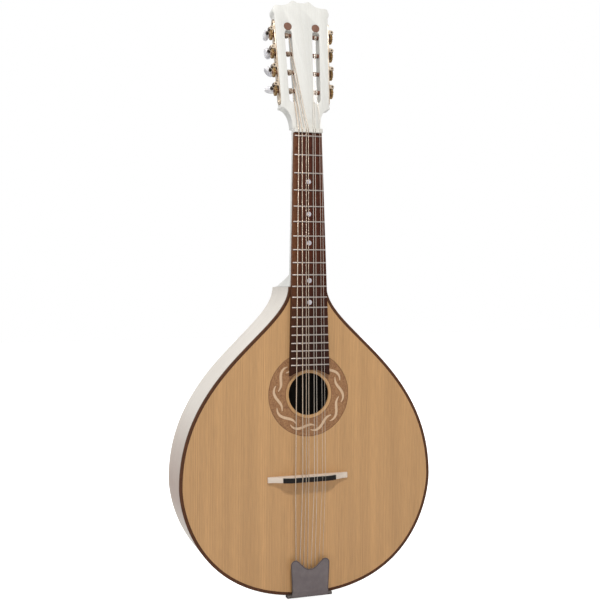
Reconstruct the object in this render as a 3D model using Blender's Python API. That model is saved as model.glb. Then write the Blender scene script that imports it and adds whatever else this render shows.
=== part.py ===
"""Flat-backed mandola: teardrop body, floating bridge, hinged tailpiece cover and
a slotted headstock with two plates of four worm-geared machine heads.

Frame: X runs across (treble side +), Y from the front to the back, Z up along the neck.
The origin is on the centreline at the zero fret, in the plane of the soundboard's face.
All lengths are in metres.
"""
from math import asin
from math import atan
from math import atan2
from math import cos
from math import degrees
from math import hypot
from math import pi
from math import radians
from math import sin
from math import tan

import bmesh
import bpy
from mathutils import Matrix
from mathutils import Vector

# Fits
GAP = 0.0003
PIN_CLEARANCE = 0.0001
INLAY_GAP = 0.0002
INLAY_RISE = 0.00015
WELD_DEPTH = 0.0004
CUT_MARGIN = 0.0010
SHARP_ANGLE = 35.0

# Scale and fingerboard
SCALE_LENGTH = 0.420
FRET_COUNT = 19
NECK_JOINT_FRET = 10
DOT_FRETS = (3, 5, 7, 10, 12)
BOARD_HALF_WIDTH_NUT = 0.0179
BOARD_HALF_WIDTH_LAST = 0.0249
BOARD_THICKNESS = 0.006
BOARD_HEAD_END = 0.0040
BOARD_TAIL_OVERHANG = 0.0132
BOARD_END_RADIUS = 0.0460
FRET_WIDTH = 0.0018
FRET_HEIGHT = 0.0011
FRET_INSET = 0.0004
DOT_RADIUS = 0.0030

# Nut and string spacing
NUT_THICKNESS = 0.0050
NUT_HEIGHT = 0.0088
PAIR_SPACINGS_NUT = (0.0042, 0.0028, 0.0028, 0.0028)
COURSE_SPACING_NUT = 0.0088
STRINGS_MIDDLE_NUT = 0.0026
PAIR_SPACINGS_BRIDGE = (0.0090, 0.0034, 0.0036, 0.0038)
COURSE_SPACING_BRIDGE = 0.0106
STRINGS_MIDDLE_BRIDGE = -0.0016
NOTCH_CLEARANCE = 0.0003
NUT_NOTCH_DROP = 0.0006
SADDLE_NOTCH_DEPTH = 0.0008
COURSE_NAMES = ("c", "g", "d", "a")
COURSE_DIAMETERS = (0.00117, 0.00086, 0.00058, 0.00038)
WOUND_FROM = 0.0007

# Body outline: half width against height, two Bezier arcs
BODY_DEPTH = 0.0720
TAIL_Z = -0.5576
WIDEST_Z = -0.4200
BODY_HALF_WIDTH = 0.1601
JOINT_HALF_WIDTH = 0.0245
TAIL_HANDLE = 0.1380
LOWER_HANDLE = 0.0300
UPPER_HANDLE = 0.1370
SHOULDER_HANDLE = 0.0530
LOWER_STEPS = 14
UPPER_STEPS = 17

# Body pieces
SOUNDBOARD_THICKNESS = 0.0028
BACK_THICKNESS = 0.0030
RIB_THICKNESS = 0.0024
BINDING_WIDTH = 0.0024
BINDING_DEPTH = 0.0032
LINING_WIDTH = 0.0050
LINING_DEPTH = 0.0100
BRACE_WIDTH = 0.0080
BRACE_HEIGHT = 0.0130
BRACE_TIP_HEIGHT = 0.0040
BRACE_TAPER = 0.0300
SOUNDBOARD_BRACES_Z = (-0.2620, -0.3680, -0.4560)
BACK_BRACES_Z = (-0.2800, -0.3800, -0.4780)
TAIL_BLOCK_HALF_WIDTH = 0.0300
TAIL_BLOCK_THICKNESS = 0.0180
NECK_BLOCK_LENGTH = 0.0280

# Soundhole and rosette
SOUNDHOLE_Z = -0.3157
SOUNDHOLE_RADIUS = 0.0256
ROSETTE_INNER_RADIUS = 0.0294
ROSETTE_OUTER_RADIUS = 0.0512
ROSETTE_THICKNESS = 0.0010
RIBBON_COUNT = 10
RIBBON_MEAN_RADIUS = 0.0410
RIBBON_SWING = 0.0038
RIBBON_WAVES = 0.82
RIBBON_OUTER_TURN = 0.18
RIBBON_HALF_SPAN = 22.5
RIBBON_HALF_WIDTH = 0.00160
RIBBON_FIRST_ANGLE = 7.0
RIBBON_STEPS = 5

# Neck
NECK_DEPTH_NUT = 0.0150
NECK_DEPTH_HEEL = 0.0190
HEEL_LENGTH = 0.0150
HEEL_RISE_POWER = 0.80
NECK_BLEND_Z = -0.0100
NUT_END_FULLNESS = 0.55
NECK_FULLNESS = 0.70
HEEL_FULLNESS = 0.32

# Headstock
HEAD_TILT = 7.0
HEAD_THICKNESS = 0.0150
HEAD_LENGTH = 0.1613
HEAD_FLARE_START_U = 0.0035
HEAD_CORNER_U = 0.0290
HEAD_CORNER_LIP = 0.0020
HEAD_CORNER_HALF_WIDTH = 0.0318
HEAD_EDGE_START_U = 0.0312
HEAD_EDGE_END_U = 0.1430
HEAD_EDGE_HALF_WIDTH_START = 0.0309
HEAD_EDGE_HALF_WIDTH_END = 0.0352
HEAD_EAR_HALF_WIDTH = 0.0368
HEAD_EAR_U = 0.1500
HEAD_SHOULDER_U = 0.1585
HEAD_EAR_ROUND = 0.0030
HEAD_CREST_HALF_WIDTH = 0.0170
HEAD_CREST_SWEEP = 0.0070
HEAD_HORN_HALF_WIDTH = 0.0112
HEAD_HORN_RISE = 0.0048
HEAD_NOTCH_RISE = 0.0024
SLOT_WIDTH = 0.0095
SLOT_START_U = 0.0336
SLOT_END_U = 0.1275
SLOT_CENTRE_START = 0.0157
SLOT_CENTRE_END = 0.0183
SLOT_DISC_RADIUS = 0.0052
SLOT_DISC_U = 0.1317
SLOT_DISC_DEPTH = 0.0012

# Machine heads
ROLLER_COUNT = 4
ROLLER_PITCH = 0.0240
FIRST_ROLLER_U = 0.0486
ROLLER_V = 0.0052
ROLLER_RADIUS = 0.0026
ROLLER_SPIGOT_RADIUS = 0.0014
ROLLER_BLIND_DEPTH = 0.0045
PLATE_THICKNESS = 0.0012
PLATE_NEAR_V = 0.0004
PLATE_FAR_V = 0.0122
PLATE_OVERHANG_LOW = 0.0170
PLATE_OVERHANG_HIGH = 0.0205
PLATE_CORNER = 0.0035
PLATE_SCREW_MARGIN = 0.0035
PLATE_SCREW_SHARE = 0.60
GEAR_TEETH = 14
GEAR_MODULE = 0.000786
GEAR_THICKNESS = 0.0026
GEAR_TIP_RADIUS = 0.00615
GEAR_ROOT_RADIUS = 0.0045
GEAR_ROOT_SHARE = 0.31
GEAR_TIP_SHARE = 0.13
WORM_OFFSET = 0.0080
WORM_CREST_RADIUS = 0.0031
WORM_SHAFT_RADIUS = 0.0015
THREAD_TURNS = 2
THREAD_STEPS = 8
THREAD_ROOT_HALF_WIDTH = 0.00058
THREAD_CREST_HALF_WIDTH = 0.00030
THREAD_RUN_OUT = 0.00035
WORM_PLATE_CLEARANCE = 0.0004
EAR_THICKNESS = 0.0016
EAR_HALF_WIDTH = 0.0026
EAR_RIM = 0.0009
FERRULE_RADIUS = 0.0024
FERRULE_LENGTH = 0.0024
BUTTON_START = 0.0195
BUTTON_LENGTH = 0.0120
BUTTON_HALF_WIDTH = 0.0075
BUTTON_THICKNESS = 0.0064
BUTTON_SOCKET_DEPTH = 0.0070
BUTTON_ANGLES_BASS = (8.0, 50.0, 84.0, 100.0)
BUTTON_ANGLES_TREBLE = (76.0, 102.0, 88.0, 95.0)
WINDING_TURNS = 2.25
WINDING_STEPS = 12
WINDING_SPACE = 0.00055
RUN_ON_OFFSETS = (0.0008, 0.0014, 0.0010, 0.0003)

# Bridge
BRIDGE_LENGTH = 0.1015
BRIDGE_CREST_HALF_LENGTH = 0.0205
BRIDGE_HEIGHT = 0.0122
BRIDGE_TIP_HEIGHT = 0.0030
SADDLE_HALF_LENGTH = 0.0335
SADDLE_THICKNESS = 0.0055
SADDLE_DEPTH = 0.0040
SADDLE_HEIGHT = 0.0138
COMPENSATION = -0.0030
BRIDGE_WALL = 0.0012
BRIDGE_MIDDLE_X = -0.0025

# Tailpiece
TAILPIECE_MIDDLE_X = -0.0022
TAILPIECE_THICKNESS = 0.0010
PIN_RADIUS = 0.0008
BARREL_RADIUS = 0.0020
COVER_HALF_WIDTH = 0.0228
KNUCKLE_LENGTH = 0.0050
LAP_HALF_WIDTH = 0.0212
BASE_DROP = 0.0340
BASE_FOOT_HALF_WIDTH = 0.0200
BASE_FOOT_CORNER = 0.0055
BASE_TAPER_START = 0.0040
BASE_EDGE_ROUND = 0.0012
HOOK_SPACING = 0.0049
HOOK_WIDTH = 0.0016
HOOK_Z = -0.5300
HOOK_HEIGHT = 0.0034
HOOK_LIP = 0.0034
COVER_HORN_Z = -0.5134
COVER_NOTCH_Z = -0.5250
COVER_HORN_RADIUS = 0.0055
COVER_RISE = 0.0072
COVER_BEND_Z = -0.5500
COVER_HORN_SPREAD = 0.0016
COVER_NOTCH_RADIUS = 0.0110
COVER_SIDE_TOP_Z = -0.5512
COVER_CROWN = 0.0006
STRING_EYE_HALF_WIDTH = 0.0017
STRING_EYE_CORNER = 0.0006
STRING_EYE_LENGTH = 0.0050

# Screws
SCREW_HEAD_RADIUS = 0.0021
SCREW_HEAD_HEIGHT = 0.0008
SCREW_SHANK_RADIUS = 0.0010
SCREW_LENGTH = 0.0080
TAIL_SCREWS = ((-0.0130, 0.0120), (0.0130, 0.0120), (-0.0080, 0.0270), (0.0080, 0.0270))

# Worked out from the sizes above
BOARD_TOP = GAP + BOARD_THICKNESS
FRET_TOP = BOARD_TOP + FRET_HEIGHT
HEAD_BREAK_Z = BOARD_HEAD_END + GAP + NUT_THICKNESS + GAP
GEAR_MIDDLE = GAP + PLATE_THICKNESS + WORM_PLATE_CLEARANCE + WORM_CREST_RADIUS
WORM_PITCH = pi * GEAR_MODULE
THREAD_HALF_LENGTH = THREAD_TURNS * WORM_PITCH / 2 + THREAD_RUN_OUT
PLATE_MIDDLE_V = (PLATE_NEAR_V + PLATE_FAR_V) / 2
SADDLE_Z = -SCALE_LENGTH - COMPENSATION
PIN_Y = -GAP - TAILPIECE_THICKNESS - GAP - BARREL_RADIUS
PIN_Z = TAIL_Z - GAP - TAILPIECE_THICKNESS + BARREL_RADIUS
HEAD_EDGE_SLOPE = atan2(
    HEAD_EDGE_HALF_WIDTH_END - HEAD_EDGE_HALF_WIDTH_START,
    HEAD_EDGE_END_U - HEAD_EDGE_START_U,
)

for old in list(bpy.data.objects):
    bpy.data.objects.remove(old, do_unlink=True)


def fret_z(number):
    """Height of a fret, by equal temperament."""
    return -SCALE_LENGTH * (1 - 2 ** (-number / 12))


LAST_FRET_Z = fret_z(FRET_COUNT)
JOINT_Z = fret_z(NECK_JOINT_FRET)


def board_half_width(z):
    """The fingerboard tapers in a straight line from the zero fret to the last."""
    share = z / LAST_FRET_Z
    return BOARD_HALF_WIDTH_NUT + (BOARD_HALF_WIDTH_LAST - BOARD_HALF_WIDTH_NUT) * share


# Materials


def material(name, colour, roughness, metallic=0.0):
    made = bpy.data.materials.new(name)
    made.use_nodes = True
    shader = made.node_tree.nodes["Principled BSDF"]
    shader.inputs["Base Color"].default_value = (*colour, 1.0)
    shader.inputs["Roughness"].default_value = roughness
    shader.inputs["Metallic"].default_value = metallic
    made.diffuse_color = (*colour, 1.0)
    return made


SPRUCE = ("spruce", (0.55, 0.33, 0.15), 0.45)
PALE_WOOD = ("whitewashed_wood", (0.80, 0.77, 0.72), 0.5)
INNER_WOOD = ("inner_spruce", (0.62, 0.45, 0.26), 0.7)
ROSEWOOD = ("rosewood", (0.06, 0.02, 0.012), 0.5)
DARK_BINDING = ("dark_binding", (0.10, 0.05, 0.02), 0.45)
ROSETTE_BROWN = ("rosette_brown", (0.30, 0.13, 0.06), 0.45)
BONE = ("bone", (0.86, 0.83, 0.76), 0.35)
EBONY = ("ebony", (0.012, 0.009, 0.008), 0.35)
PEARL = ("pearl", (0.72, 0.70, 0.74), 0.2)
STEEL = ("steel", (0.55, 0.54, 0.53), 0.3, 1.0)
BRASS = ("brass", (0.72, 0.50, 0.20), 0.3, 1.0)
DARK_STEEL = ("dark_steel", (0.10, 0.085, 0.07), 0.35, 1.0)
GREY_LACQUER = ("grey_lacquer", (0.17, 0.15, 0.155), 0.55, 0.4)
BRONZE = ("bronze_wire", (0.50, 0.25, 0.12), 0.35, 1.0)


# Mesh helpers


def shade(mesh):
    """Round faces shade smooth, and edges sharper than the limit stay crisp."""
    mesh.shade_smooth()
    mesh.set_sharp_from_angle(angle=radians(SHARP_ANGLE))


def finish(name, bm, look, parent=None):
    """Turns a bmesh into a named object with its own material."""
    bmesh.ops.recalc_face_normals(bm, faces=bm.faces)
    mesh = bpy.data.meshes.new(name)
    bm.to_mesh(mesh)
    bm.free()
    shade(mesh)
    return add_object(name, mesh, look, parent)


def add_object(name, mesh, look, parent=None):
    made = bpy.data.objects.new(name, mesh)
    bpy.context.collection.objects.link(made)
    if not mesh.materials:
        mesh.materials.append(None)
    made.material_slots[0].link = "OBJECT"
    made.material_slots[0].material = material(name + "_" + look[0], *look[1:])
    made.parent = parent
    return made


def empty(name, matrix, parent=None):
    made = bpy.data.objects.new(name, None)
    bpy.context.collection.objects.link(made)
    made.parent = parent
    made.matrix_local = matrix
    return made


def at(axis, value, first, second):
    """A point from its coordinate along an axis and the other two, in X, Y, Z order."""
    if axis == "X":
        return Vector((value, first, second))
    if axis == "Y":
        return Vector((first, value, second))
    return Vector((first, second, value))


def add_prism(bm, axis, outline, low, high):
    """Extrudes a flat outline along an axis."""
    near = [bm.verts.new(at(axis, low, *point)) for point in outline]
    face = bm.faces.new(near)
    made = bmesh.ops.extrude_face_region(bm, geom=[face])["geom"]
    far = [item for item in made if isinstance(item, bmesh.types.BMVert)]
    bmesh.ops.translate(bm, verts=far, vec=at(axis, high - low, 0, 0))


def prism(axis, outline, low, high):
    bm = bmesh.new()
    add_prism(bm, axis, outline, low, high)
    return bm


def add_box(bm, low, high):
    corners = [(low[0], low[2]), (high[0], low[2]), (high[0], high[2]), (low[0], high[2])]
    add_prism(bm, "Y", corners, low[1], high[1])


def add_bore(bm, axis, span, radius, centre, sides, clearance=PIN_CLEARANCE):
    """A round hole's cutter, its flats clear of a round piece that turns in it."""
    corner = bore_radius(radius, clearance, sides)
    add_turned(bm, axis, [(span[0], corner), (span[1], corner)], centre, sides)


def add_turned(bm, axis, profile, centre, sides, start=0.0):
    """A turned solid: profile is a list of (position along the axis, radius)."""
    rings = []
    for along, radius in profile:
        ring = []
        for side in range(sides):
            turn = start + 2 * pi * side / sides
            first = centre[0] + radius * cos(turn)
            second = centre[1] + radius * sin(turn)
            ring.append(bm.verts.new(at(axis, along, first, second)))
        rings.append(ring)
    join_rings(bm, rings)


def join_rings(bm, rings):
    """Skins a row of rings with equal point counts and caps both ends."""
    count = len(rings[0])
    for lower, upper in zip(rings, rings[1:]):
        for index in range(count):
            follower = (index + 1) % count
            bm.faces.new((lower[index], lower[follower], upper[follower], upper[index]))
    bm.faces.new(list(reversed(rings[0])))
    bm.faces.new(rings[-1])


def loft(rings):
    bm = bmesh.new()
    join_rings(bm, [[bm.verts.new(point) for point in ring] for ring in rings])
    return bm


def cutter(name, bm, parent=None):
    """A hidden solid that a Boolean modifier reads."""
    bmesh.ops.recalc_face_normals(bm, faces=bm.faces)
    mesh = bpy.data.meshes.new(name)
    bm.to_mesh(mesh)
    bm.free()
    made = bpy.data.objects.new(name, mesh)
    bpy.context.collection.objects.link(made)
    made.parent = parent
    made.hide_render = True
    made.display_type = "WIRE"
    return made


def combine(target, tool, operation):
    modifier = target.modifiers.new(operation.lower() + "_" + tool.name, "BOOLEAN")
    modifier.operation = operation
    modifier.solver = "EXACT"
    modifier.object = tool


def circle(centre, radius, sides, start=0.0):
    turns = [start + 2 * pi * side / sides for side in range(sides)]
    return [(centre[0] + radius * cos(turn), centre[1] + radius * sin(turn)) for turn in turns]


def arc(centre, radius, start, end, steps):
    """Points on an arc, angles in degrees, both ends included."""
    points = []
    for step in range(steps + 1):
        turn = radians(start + (end - start) * step / steps)
        points.append((centre[0] + radius * cos(turn), centre[1] + radius * sin(turn)))
    return points


def add_screw(bm, axis, seat, direction, centre):
    """A wood screw, fused with the sheet that it holds: head outside seat, shank along direction."""
    rim = seat - direction * WELD_DEPTH
    profile = [(rim - direction * SCREW_HEAD_HEIGHT, 0.6 * SCREW_HEAD_RADIUS),
               (rim, SCREW_HEAD_RADIUS), (seat, SCREW_HEAD_RADIUS), (seat, SCREW_SHANK_RADIUS),
               (seat + direction * SCREW_LENGTH, SCREW_SHANK_RADIUS)]
    add_turned(bm, axis, profile, centre, 6)


def bore_radius(radius, clearance, sides):
    """A bore's corner radius, such that its flats stay clear of a round piece that turns in it."""
    return (radius + clearance) / cos(pi / sides)


def mirrored(points):
    """A closed outline from its +X half, given from bottom to top."""
    other = [(-x, z) for x, z in reversed(points) if abs(x) > 1e-7]
    return points + other


# Body outline


def bezier(points, t):
    a, b, c, d = points
    s = 1 - t
    place = [s ** 3 * p + 3 * s * s * t * q + 3 * s * t * t * r + t ** 3 * v
             for p, q, r, v in zip(a, b, c, d)]
    rate = [3 * s * s * (q - p) + 6 * s * t * (r - q) + 3 * t * t * (v - r)
            for p, q, r, v in zip(a, b, c, d)]
    return place, rate


LOWER_BOUT = (
    (0.0, TAIL_Z),
    (TAIL_HANDLE, TAIL_Z),
    (BODY_HALF_WIDTH, WIDEST_Z - LOWER_HANDLE),
    (BODY_HALF_WIDTH, WIDEST_Z),
)
BODY_TOP_Z = JOINT_Z - GAP
UPPER_BOUT = (
    (BODY_HALF_WIDTH, WIDEST_Z),
    (BODY_HALF_WIDTH, WIDEST_Z + UPPER_HANDLE),
    (JOINT_HALF_WIDTH, BODY_TOP_Z - SHOULDER_HANDLE),
    (JOINT_HALF_WIDTH, BODY_TOP_Z),
)


def half_outline(inset=0.0):
    """The treble half of the body's outline from the tail to the neck, moved inwards by inset."""
    points = []
    samples = [(LOWER_BOUT, step / LOWER_STEPS) for step in range(LOWER_STEPS)]
    samples += [(UPPER_BOUT, step / UPPER_STEPS) for step in range(UPPER_STEPS + 1)]
    for curve, t in samples:
        (x, z), (dx, dz) = bezier(curve, t)
        length = hypot(dx, dz)
        points.append((x - inset * dz / length, z + inset * dx / length))
    return points


def width_at(z, inset=0.0):
    """Half width of the outline at a height, on the same chords as the pieces have."""
    points = half_outline(inset)
    for (x0, z0), (x1, z1) in zip(points, points[1:]):
        if z0 <= z <= z1:
            return x0 + (x1 - x0) * (z - z0) / (z1 - z0)
    return points[-1][0]


def tail_floor(x, inset):
    """Height of the outline's tail end at a distance from the centreline."""
    points = half_outline(inset)
    for (x0, z0), (x1, z1) in zip(points, points[1:]):
        if x0 <= abs(x) <= x1:
            return z0 + (z1 - z0) * (abs(x) - x0) / (x1 - x0)
    return points[0][1]


# Soundboard, back, sides


def build_soundboard():
    """The soundboard with its three bars glued on, its soundhole and the rosette's groove."""
    edge = half_outline(BINDING_WIDTH + GAP)
    board = finish("soundboard", prism("Y", mirrored(edge), 0.0, SOUNDBOARD_THICKNESS), SPRUCE)
    bars = brace_bars(SOUNDBOARD_BRACES_Z, SOUNDBOARD_THICKNESS, 1)
    combine(board, cutter("soundboard_bars", bars), "UNION")
    hole = bmesh.new()
    sides = 32
    span = (-SOUNDBOARD_THICKNESS, 2 * SOUNDBOARD_THICKNESS)
    add_turned(hole, "Y", [(span[0], SOUNDHOLE_RADIUS), (span[1], SOUNDHOLE_RADIUS)],
               (0.0, SOUNDHOLE_Z), sides)
    combine(board, cutter("soundhole_cutter", hole), "DIFFERENCE")
    groove = bmesh.new()
    add_ring(groove, ROSETTE_INNER_RADIUS - INLAY_GAP, ROSETTE_OUTER_RADIUS + INLAY_GAP,
             -ROSETTE_THICKNESS, ROSETTE_THICKNESS + GAP, sides)
    combine(board, cutter("rosette_groove_cutter", groove), "DIFFERENCE")


def brace_bars(heights, face, direction):
    """Bars glued across a plate's inner face, thinned at their tips, clear of the linings."""
    bm = bmesh.new()
    inset = RIB_THICKNESS + LINING_WIDTH + GAP
    base = face - direction * WELD_DEPTH
    tip = face + direction * BRACE_TIP_HEIGHT
    crown = face + direction * BRACE_HEIGHT
    for z in heights:
        reach = min(width_at(z + side * BRACE_WIDTH / 2, inset) for side in (-1, 1))
        waist = reach - BRACE_TAPER
        profile = [(-reach, base), (reach, base), (reach, tip), (waist, crown), (-waist, crown),
                   (-reach, tip)]
        add_prism(bm, "Z", profile, z - BRACE_WIDTH / 2, z + BRACE_WIDTH / 2)
    return bm


def add_ring(bm, inner, outer, front, back, sides):
    """A flat ring round the soundhole, as a square section swept round."""
    rings = []
    for side in range(sides):
        turn = 2 * pi * side / sides
        section = [(inner, front), (outer, front), (outer, back), (inner, back)]
        rings.append([bm.verts.new((r * cos(turn), y, SOUNDHOLE_Z + r * sin(turn)))
                      for r, y in section])
    for lower, upper in zip(rings, rings[1:] + rings[:1]):
        for index in range(4):
            follower = (index + 1) % 4
            bm.faces.new((lower[index], lower[follower], upper[follower], upper[index]))


def ribbon_outline(number):
    """One S-shaped inlay: it swings from the outer side of the ring to the inner one."""
    middle = RIBBON_FIRST_ANGLE + 360.0 * number / RIBBON_COUNT
    spine = []
    for step in range(RIBBON_STEPS + 1):
        share = step / RIBBON_STEPS
        turn = radians(middle + RIBBON_HALF_SPAN * (2 * share - 1))
        wave = cos(2 * pi * RIBBON_WAVES * (share - RIBBON_OUTER_TURN))
        radius = RIBBON_MEAN_RADIUS + RIBBON_SWING * wave
        spine.append(Vector((radius * cos(turn), radius * sin(turn))))
    left = []
    right = []
    for index, point in enumerate(spine):
        before = spine[max(index - 1, 0)]
        after = spine[min(index + 1, RIBBON_STEPS)]
        along = (after - before).normalized()
        across = Vector((-along.y, along.x))
        share = 2 * index / RIBBON_STEPS - 1
        half = RIBBON_HALF_WIDTH * (1 - 0.75 * abs(share) ** 2.5)
        left.append(point + across * half)
        right.append(point - across * half)
    loop = left + right[::-1]
    return [(point.x, point.y + SOUNDHOLE_Z) for point in loop]


def build_rosette():
    """The inlaid ring, its ten light strokes a hair proud of it."""
    sides = 32
    ring = bmesh.new()
    add_ring(ring, ROSETTE_INNER_RADIUS, ROSETTE_OUTER_RADIUS, 0.0, ROSETTE_THICKNESS, sides)
    rosette = finish("rosette_ring", ring, ROSETTE_BROWN)
    strokes = bmesh.new()
    for number in range(RIBBON_COUNT):
        add_prism(strokes, "Y", ribbon_outline(number), -INLAY_RISE, WELD_DEPTH)
    combine(rosette, cutter("ribbon_strokes", strokes), "UNION")


def build_back():
    """The flat back with its three bars."""
    outline = mirrored(half_outline())
    inner = BODY_DEPTH - BACK_THICKNESS
    back = finish("back_plate", prism("Y", outline, inner, BODY_DEPTH), PALE_WOOD)
    combine(back, cutter("back_bars", brace_bars(BACK_BRACES_Z, inner, -1)), "UNION")


def band(outer, inner, near, far):
    """A strip bent along the outline: outer and inner are point lists of equal length."""
    rings = []
    for (xo, zo), (xi, zi) in zip(outer, inner):
        rings.append([Vector((xo, near, zo)), Vector((xi, near, zi)),
                      Vector((xi, far, zi)), Vector((xo, far, zo))])
    return loft(rings)


def build_binding():
    outer = half_outline()
    inner = half_outline(BINDING_WIDTH)
    whole_outer = [(-x, z) for x, z in reversed(outer)] + outer[1:]
    whole_inner = [(-x, z) for x, z in reversed(inner)] + inner[1:]
    finish("edge_binding", band(whole_outer, whole_inner, 0.0, BINDING_DEPTH), DARK_BINDING)


def split_at_tail(points):
    """Ends a strip half a gap short of the centreline, so that the two sides butt there."""
    first = (GAP / 2, points[0][1])
    return [first] + points[1:]


def build_sides():
    """Two bent sides with their linings; they butt at the tail and end at the heel."""
    near = BINDING_DEPTH + GAP
    far = BODY_DEPTH - BACK_THICKNESS - GAP
    outer = split_at_tail(half_outline())
    inner = split_at_tail(half_outline(RIB_THICKNESS))
    lip = split_at_tail(half_outline(RIB_THICKNESS + LINING_WIDTH))
    lined = lined_stretch(inner)
    for name, sign in (("side_bass", -1), ("side_treble", 1)):
        rings = []
        for out, rib, edge, full in zip(outer, inner, lip, lined):
            tip = edge if full else rib
            section = [(out, near), (tip, near), (rib, near + LINING_DEPTH),
                       (rib, far - LINING_DEPTH), (tip, far), (out, far)]
            rings.append([Vector((sign * x, y, z)) for (x, z), y in section])
        side = finish(name, loft(rings), PALE_WOOD)
        holes = bmesh.new()
        for x, y in TAIL_SCREWS:
            if x * sign > 0:
                add_bore(holes, "Z", (TAIL_Z - RIB_THICKNESS, TAIL_Z + 2 * RIB_THICKNESS),
                         SCREW_SHANK_RADIUS, (TAILPIECE_MIDDLE_X + x, y), 6, GAP)
        combine(side, cutter(name + "_screw_cutter", holes), "DIFFERENCE")


def lined_stretch(points):
    """Where a side has its linings at full width: clear of the two end blocks by a taper."""
    top = JOINT_Z - NECK_BLOCK_LENGTH - GAP
    clear = [x > TAIL_BLOCK_HALF_WIDTH + GAP and z < top for x, z in points]
    return [all(clear[max(i - 1, 0):i + 2]) for i in range(len(points))]


def build_tail_block():
    inset = RIB_THICKNESS + GAP
    steps = 8
    xs = [TAIL_BLOCK_HALF_WIDTH * (2 * step / steps - 1) for step in range(steps + 1)]
    outline = [(x, tail_floor(x, inset)) for x in xs]
    top = TAIL_Z + inset + TAIL_BLOCK_THICKNESS
    outline += [(TAIL_BLOCK_HALF_WIDTH, top), (-TAIL_BLOCK_HALF_WIDTH, top)]
    near = BINDING_DEPTH + GAP
    far = BODY_DEPTH - BACK_THICKNESS - GAP
    block = finish("tail_block", prism("Y", outline, near, far), INNER_WOOD)
    holes = bmesh.new()
    for x, y in TAIL_SCREWS:
        add_bore(holes, "Z", (TAIL_Z, TAIL_Z + SCREW_LENGTH), SCREW_SHANK_RADIUS,
                 (TAILPIECE_MIDDLE_X + x, y), 6, GAP)
    combine(block, cutter("tail_block_screw_cutter", holes), "DIFFERENCE")


# Neck and headstock


def neck_section(z, half, depth, fullness):
    """A D-shaped section: flat on top, its back a superellipse."""
    points = []
    steps = 10
    for step in range(steps + 1):
        turn = pi * step / steps
        x = half * (1 if cos(turn) >= 0 else -1) * abs(cos(turn)) ** fullness
        y = depth * sin(turn) ** fullness
        points.append(Vector((x, y, z)))
    return points


def build_neck():
    heel_start = JOINT_Z + HEEL_LENGTH
    half = BOARD_HALF_WIDTH_NUT
    rings = [neck_section(HEAD_BREAK_Z - GAP, half, HEAD_THICKNESS, NUT_END_FULLNESS)]
    rings.append(neck_section(NECK_BLEND_Z, half, NECK_DEPTH_NUT, NECK_FULLNESS))
    half = board_half_width(heel_start)
    rings.append(neck_section(heel_start, half, NECK_DEPTH_HEEL, NECK_FULLNESS))
    heel_steps = 7
    for step in range(1, heel_steps + 1):
        share = step / heel_steps
        z = heel_start - HEEL_LENGTH * share
        depth = NECK_DEPTH_HEEL + (BODY_DEPTH - NECK_DEPTH_HEEL) * share ** HEEL_RISE_POWER
        half = board_half_width(z)
        half += (JOINT_HALF_WIDTH - board_half_width(JOINT_Z)) * share ** 2
        fullness = NECK_FULLNESS + (HEEL_FULLNESS - NECK_FULLNESS) * share
        rings.append(neck_section(z, half, depth, fullness))
    neck = finish("neck", loft(rings), PALE_WOOD)
    block = bmesh.new()
    inset = RIB_THICKNESS + GAP
    low = JOINT_Z - NECK_BLOCK_LENGTH
    inner = [(x, z) for x, z in half_outline(inset) if z > low + CUT_MARGIN]
    root = 0.75 * JOINT_HALF_WIDTH
    outline = [(width_at(low, inset), low)] + inner
    outline += [(root, BODY_TOP_Z), (root, JOINT_Z + WELD_DEPTH)]
    add_prism(block, "Y", mirrored(outline), SOUNDBOARD_THICKNESS + GAP,
              BODY_DEPTH - BACK_THICKNESS - GAP)
    combine(neck, cutter("neck_block_root", block), "UNION")


def slot_centre(u):
    share = (u - SLOT_START_U) / (SLOT_DISC_U - SLOT_START_U)
    return SLOT_CENTRE_START + (SLOT_CENTRE_END - SLOT_CENTRE_START) * share


def head_edge(u):
    """Half width of the headstock's straight side at a distance u from the nut."""
    share = (u - HEAD_EDGE_START_U) / (HEAD_EDGE_END_U - HEAD_EDGE_START_U)
    return HEAD_EDGE_HALF_WIDTH_START + share * (HEAD_EDGE_HALF_WIDTH_END - HEAD_EDGE_HALF_WIDTH_START)


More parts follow.
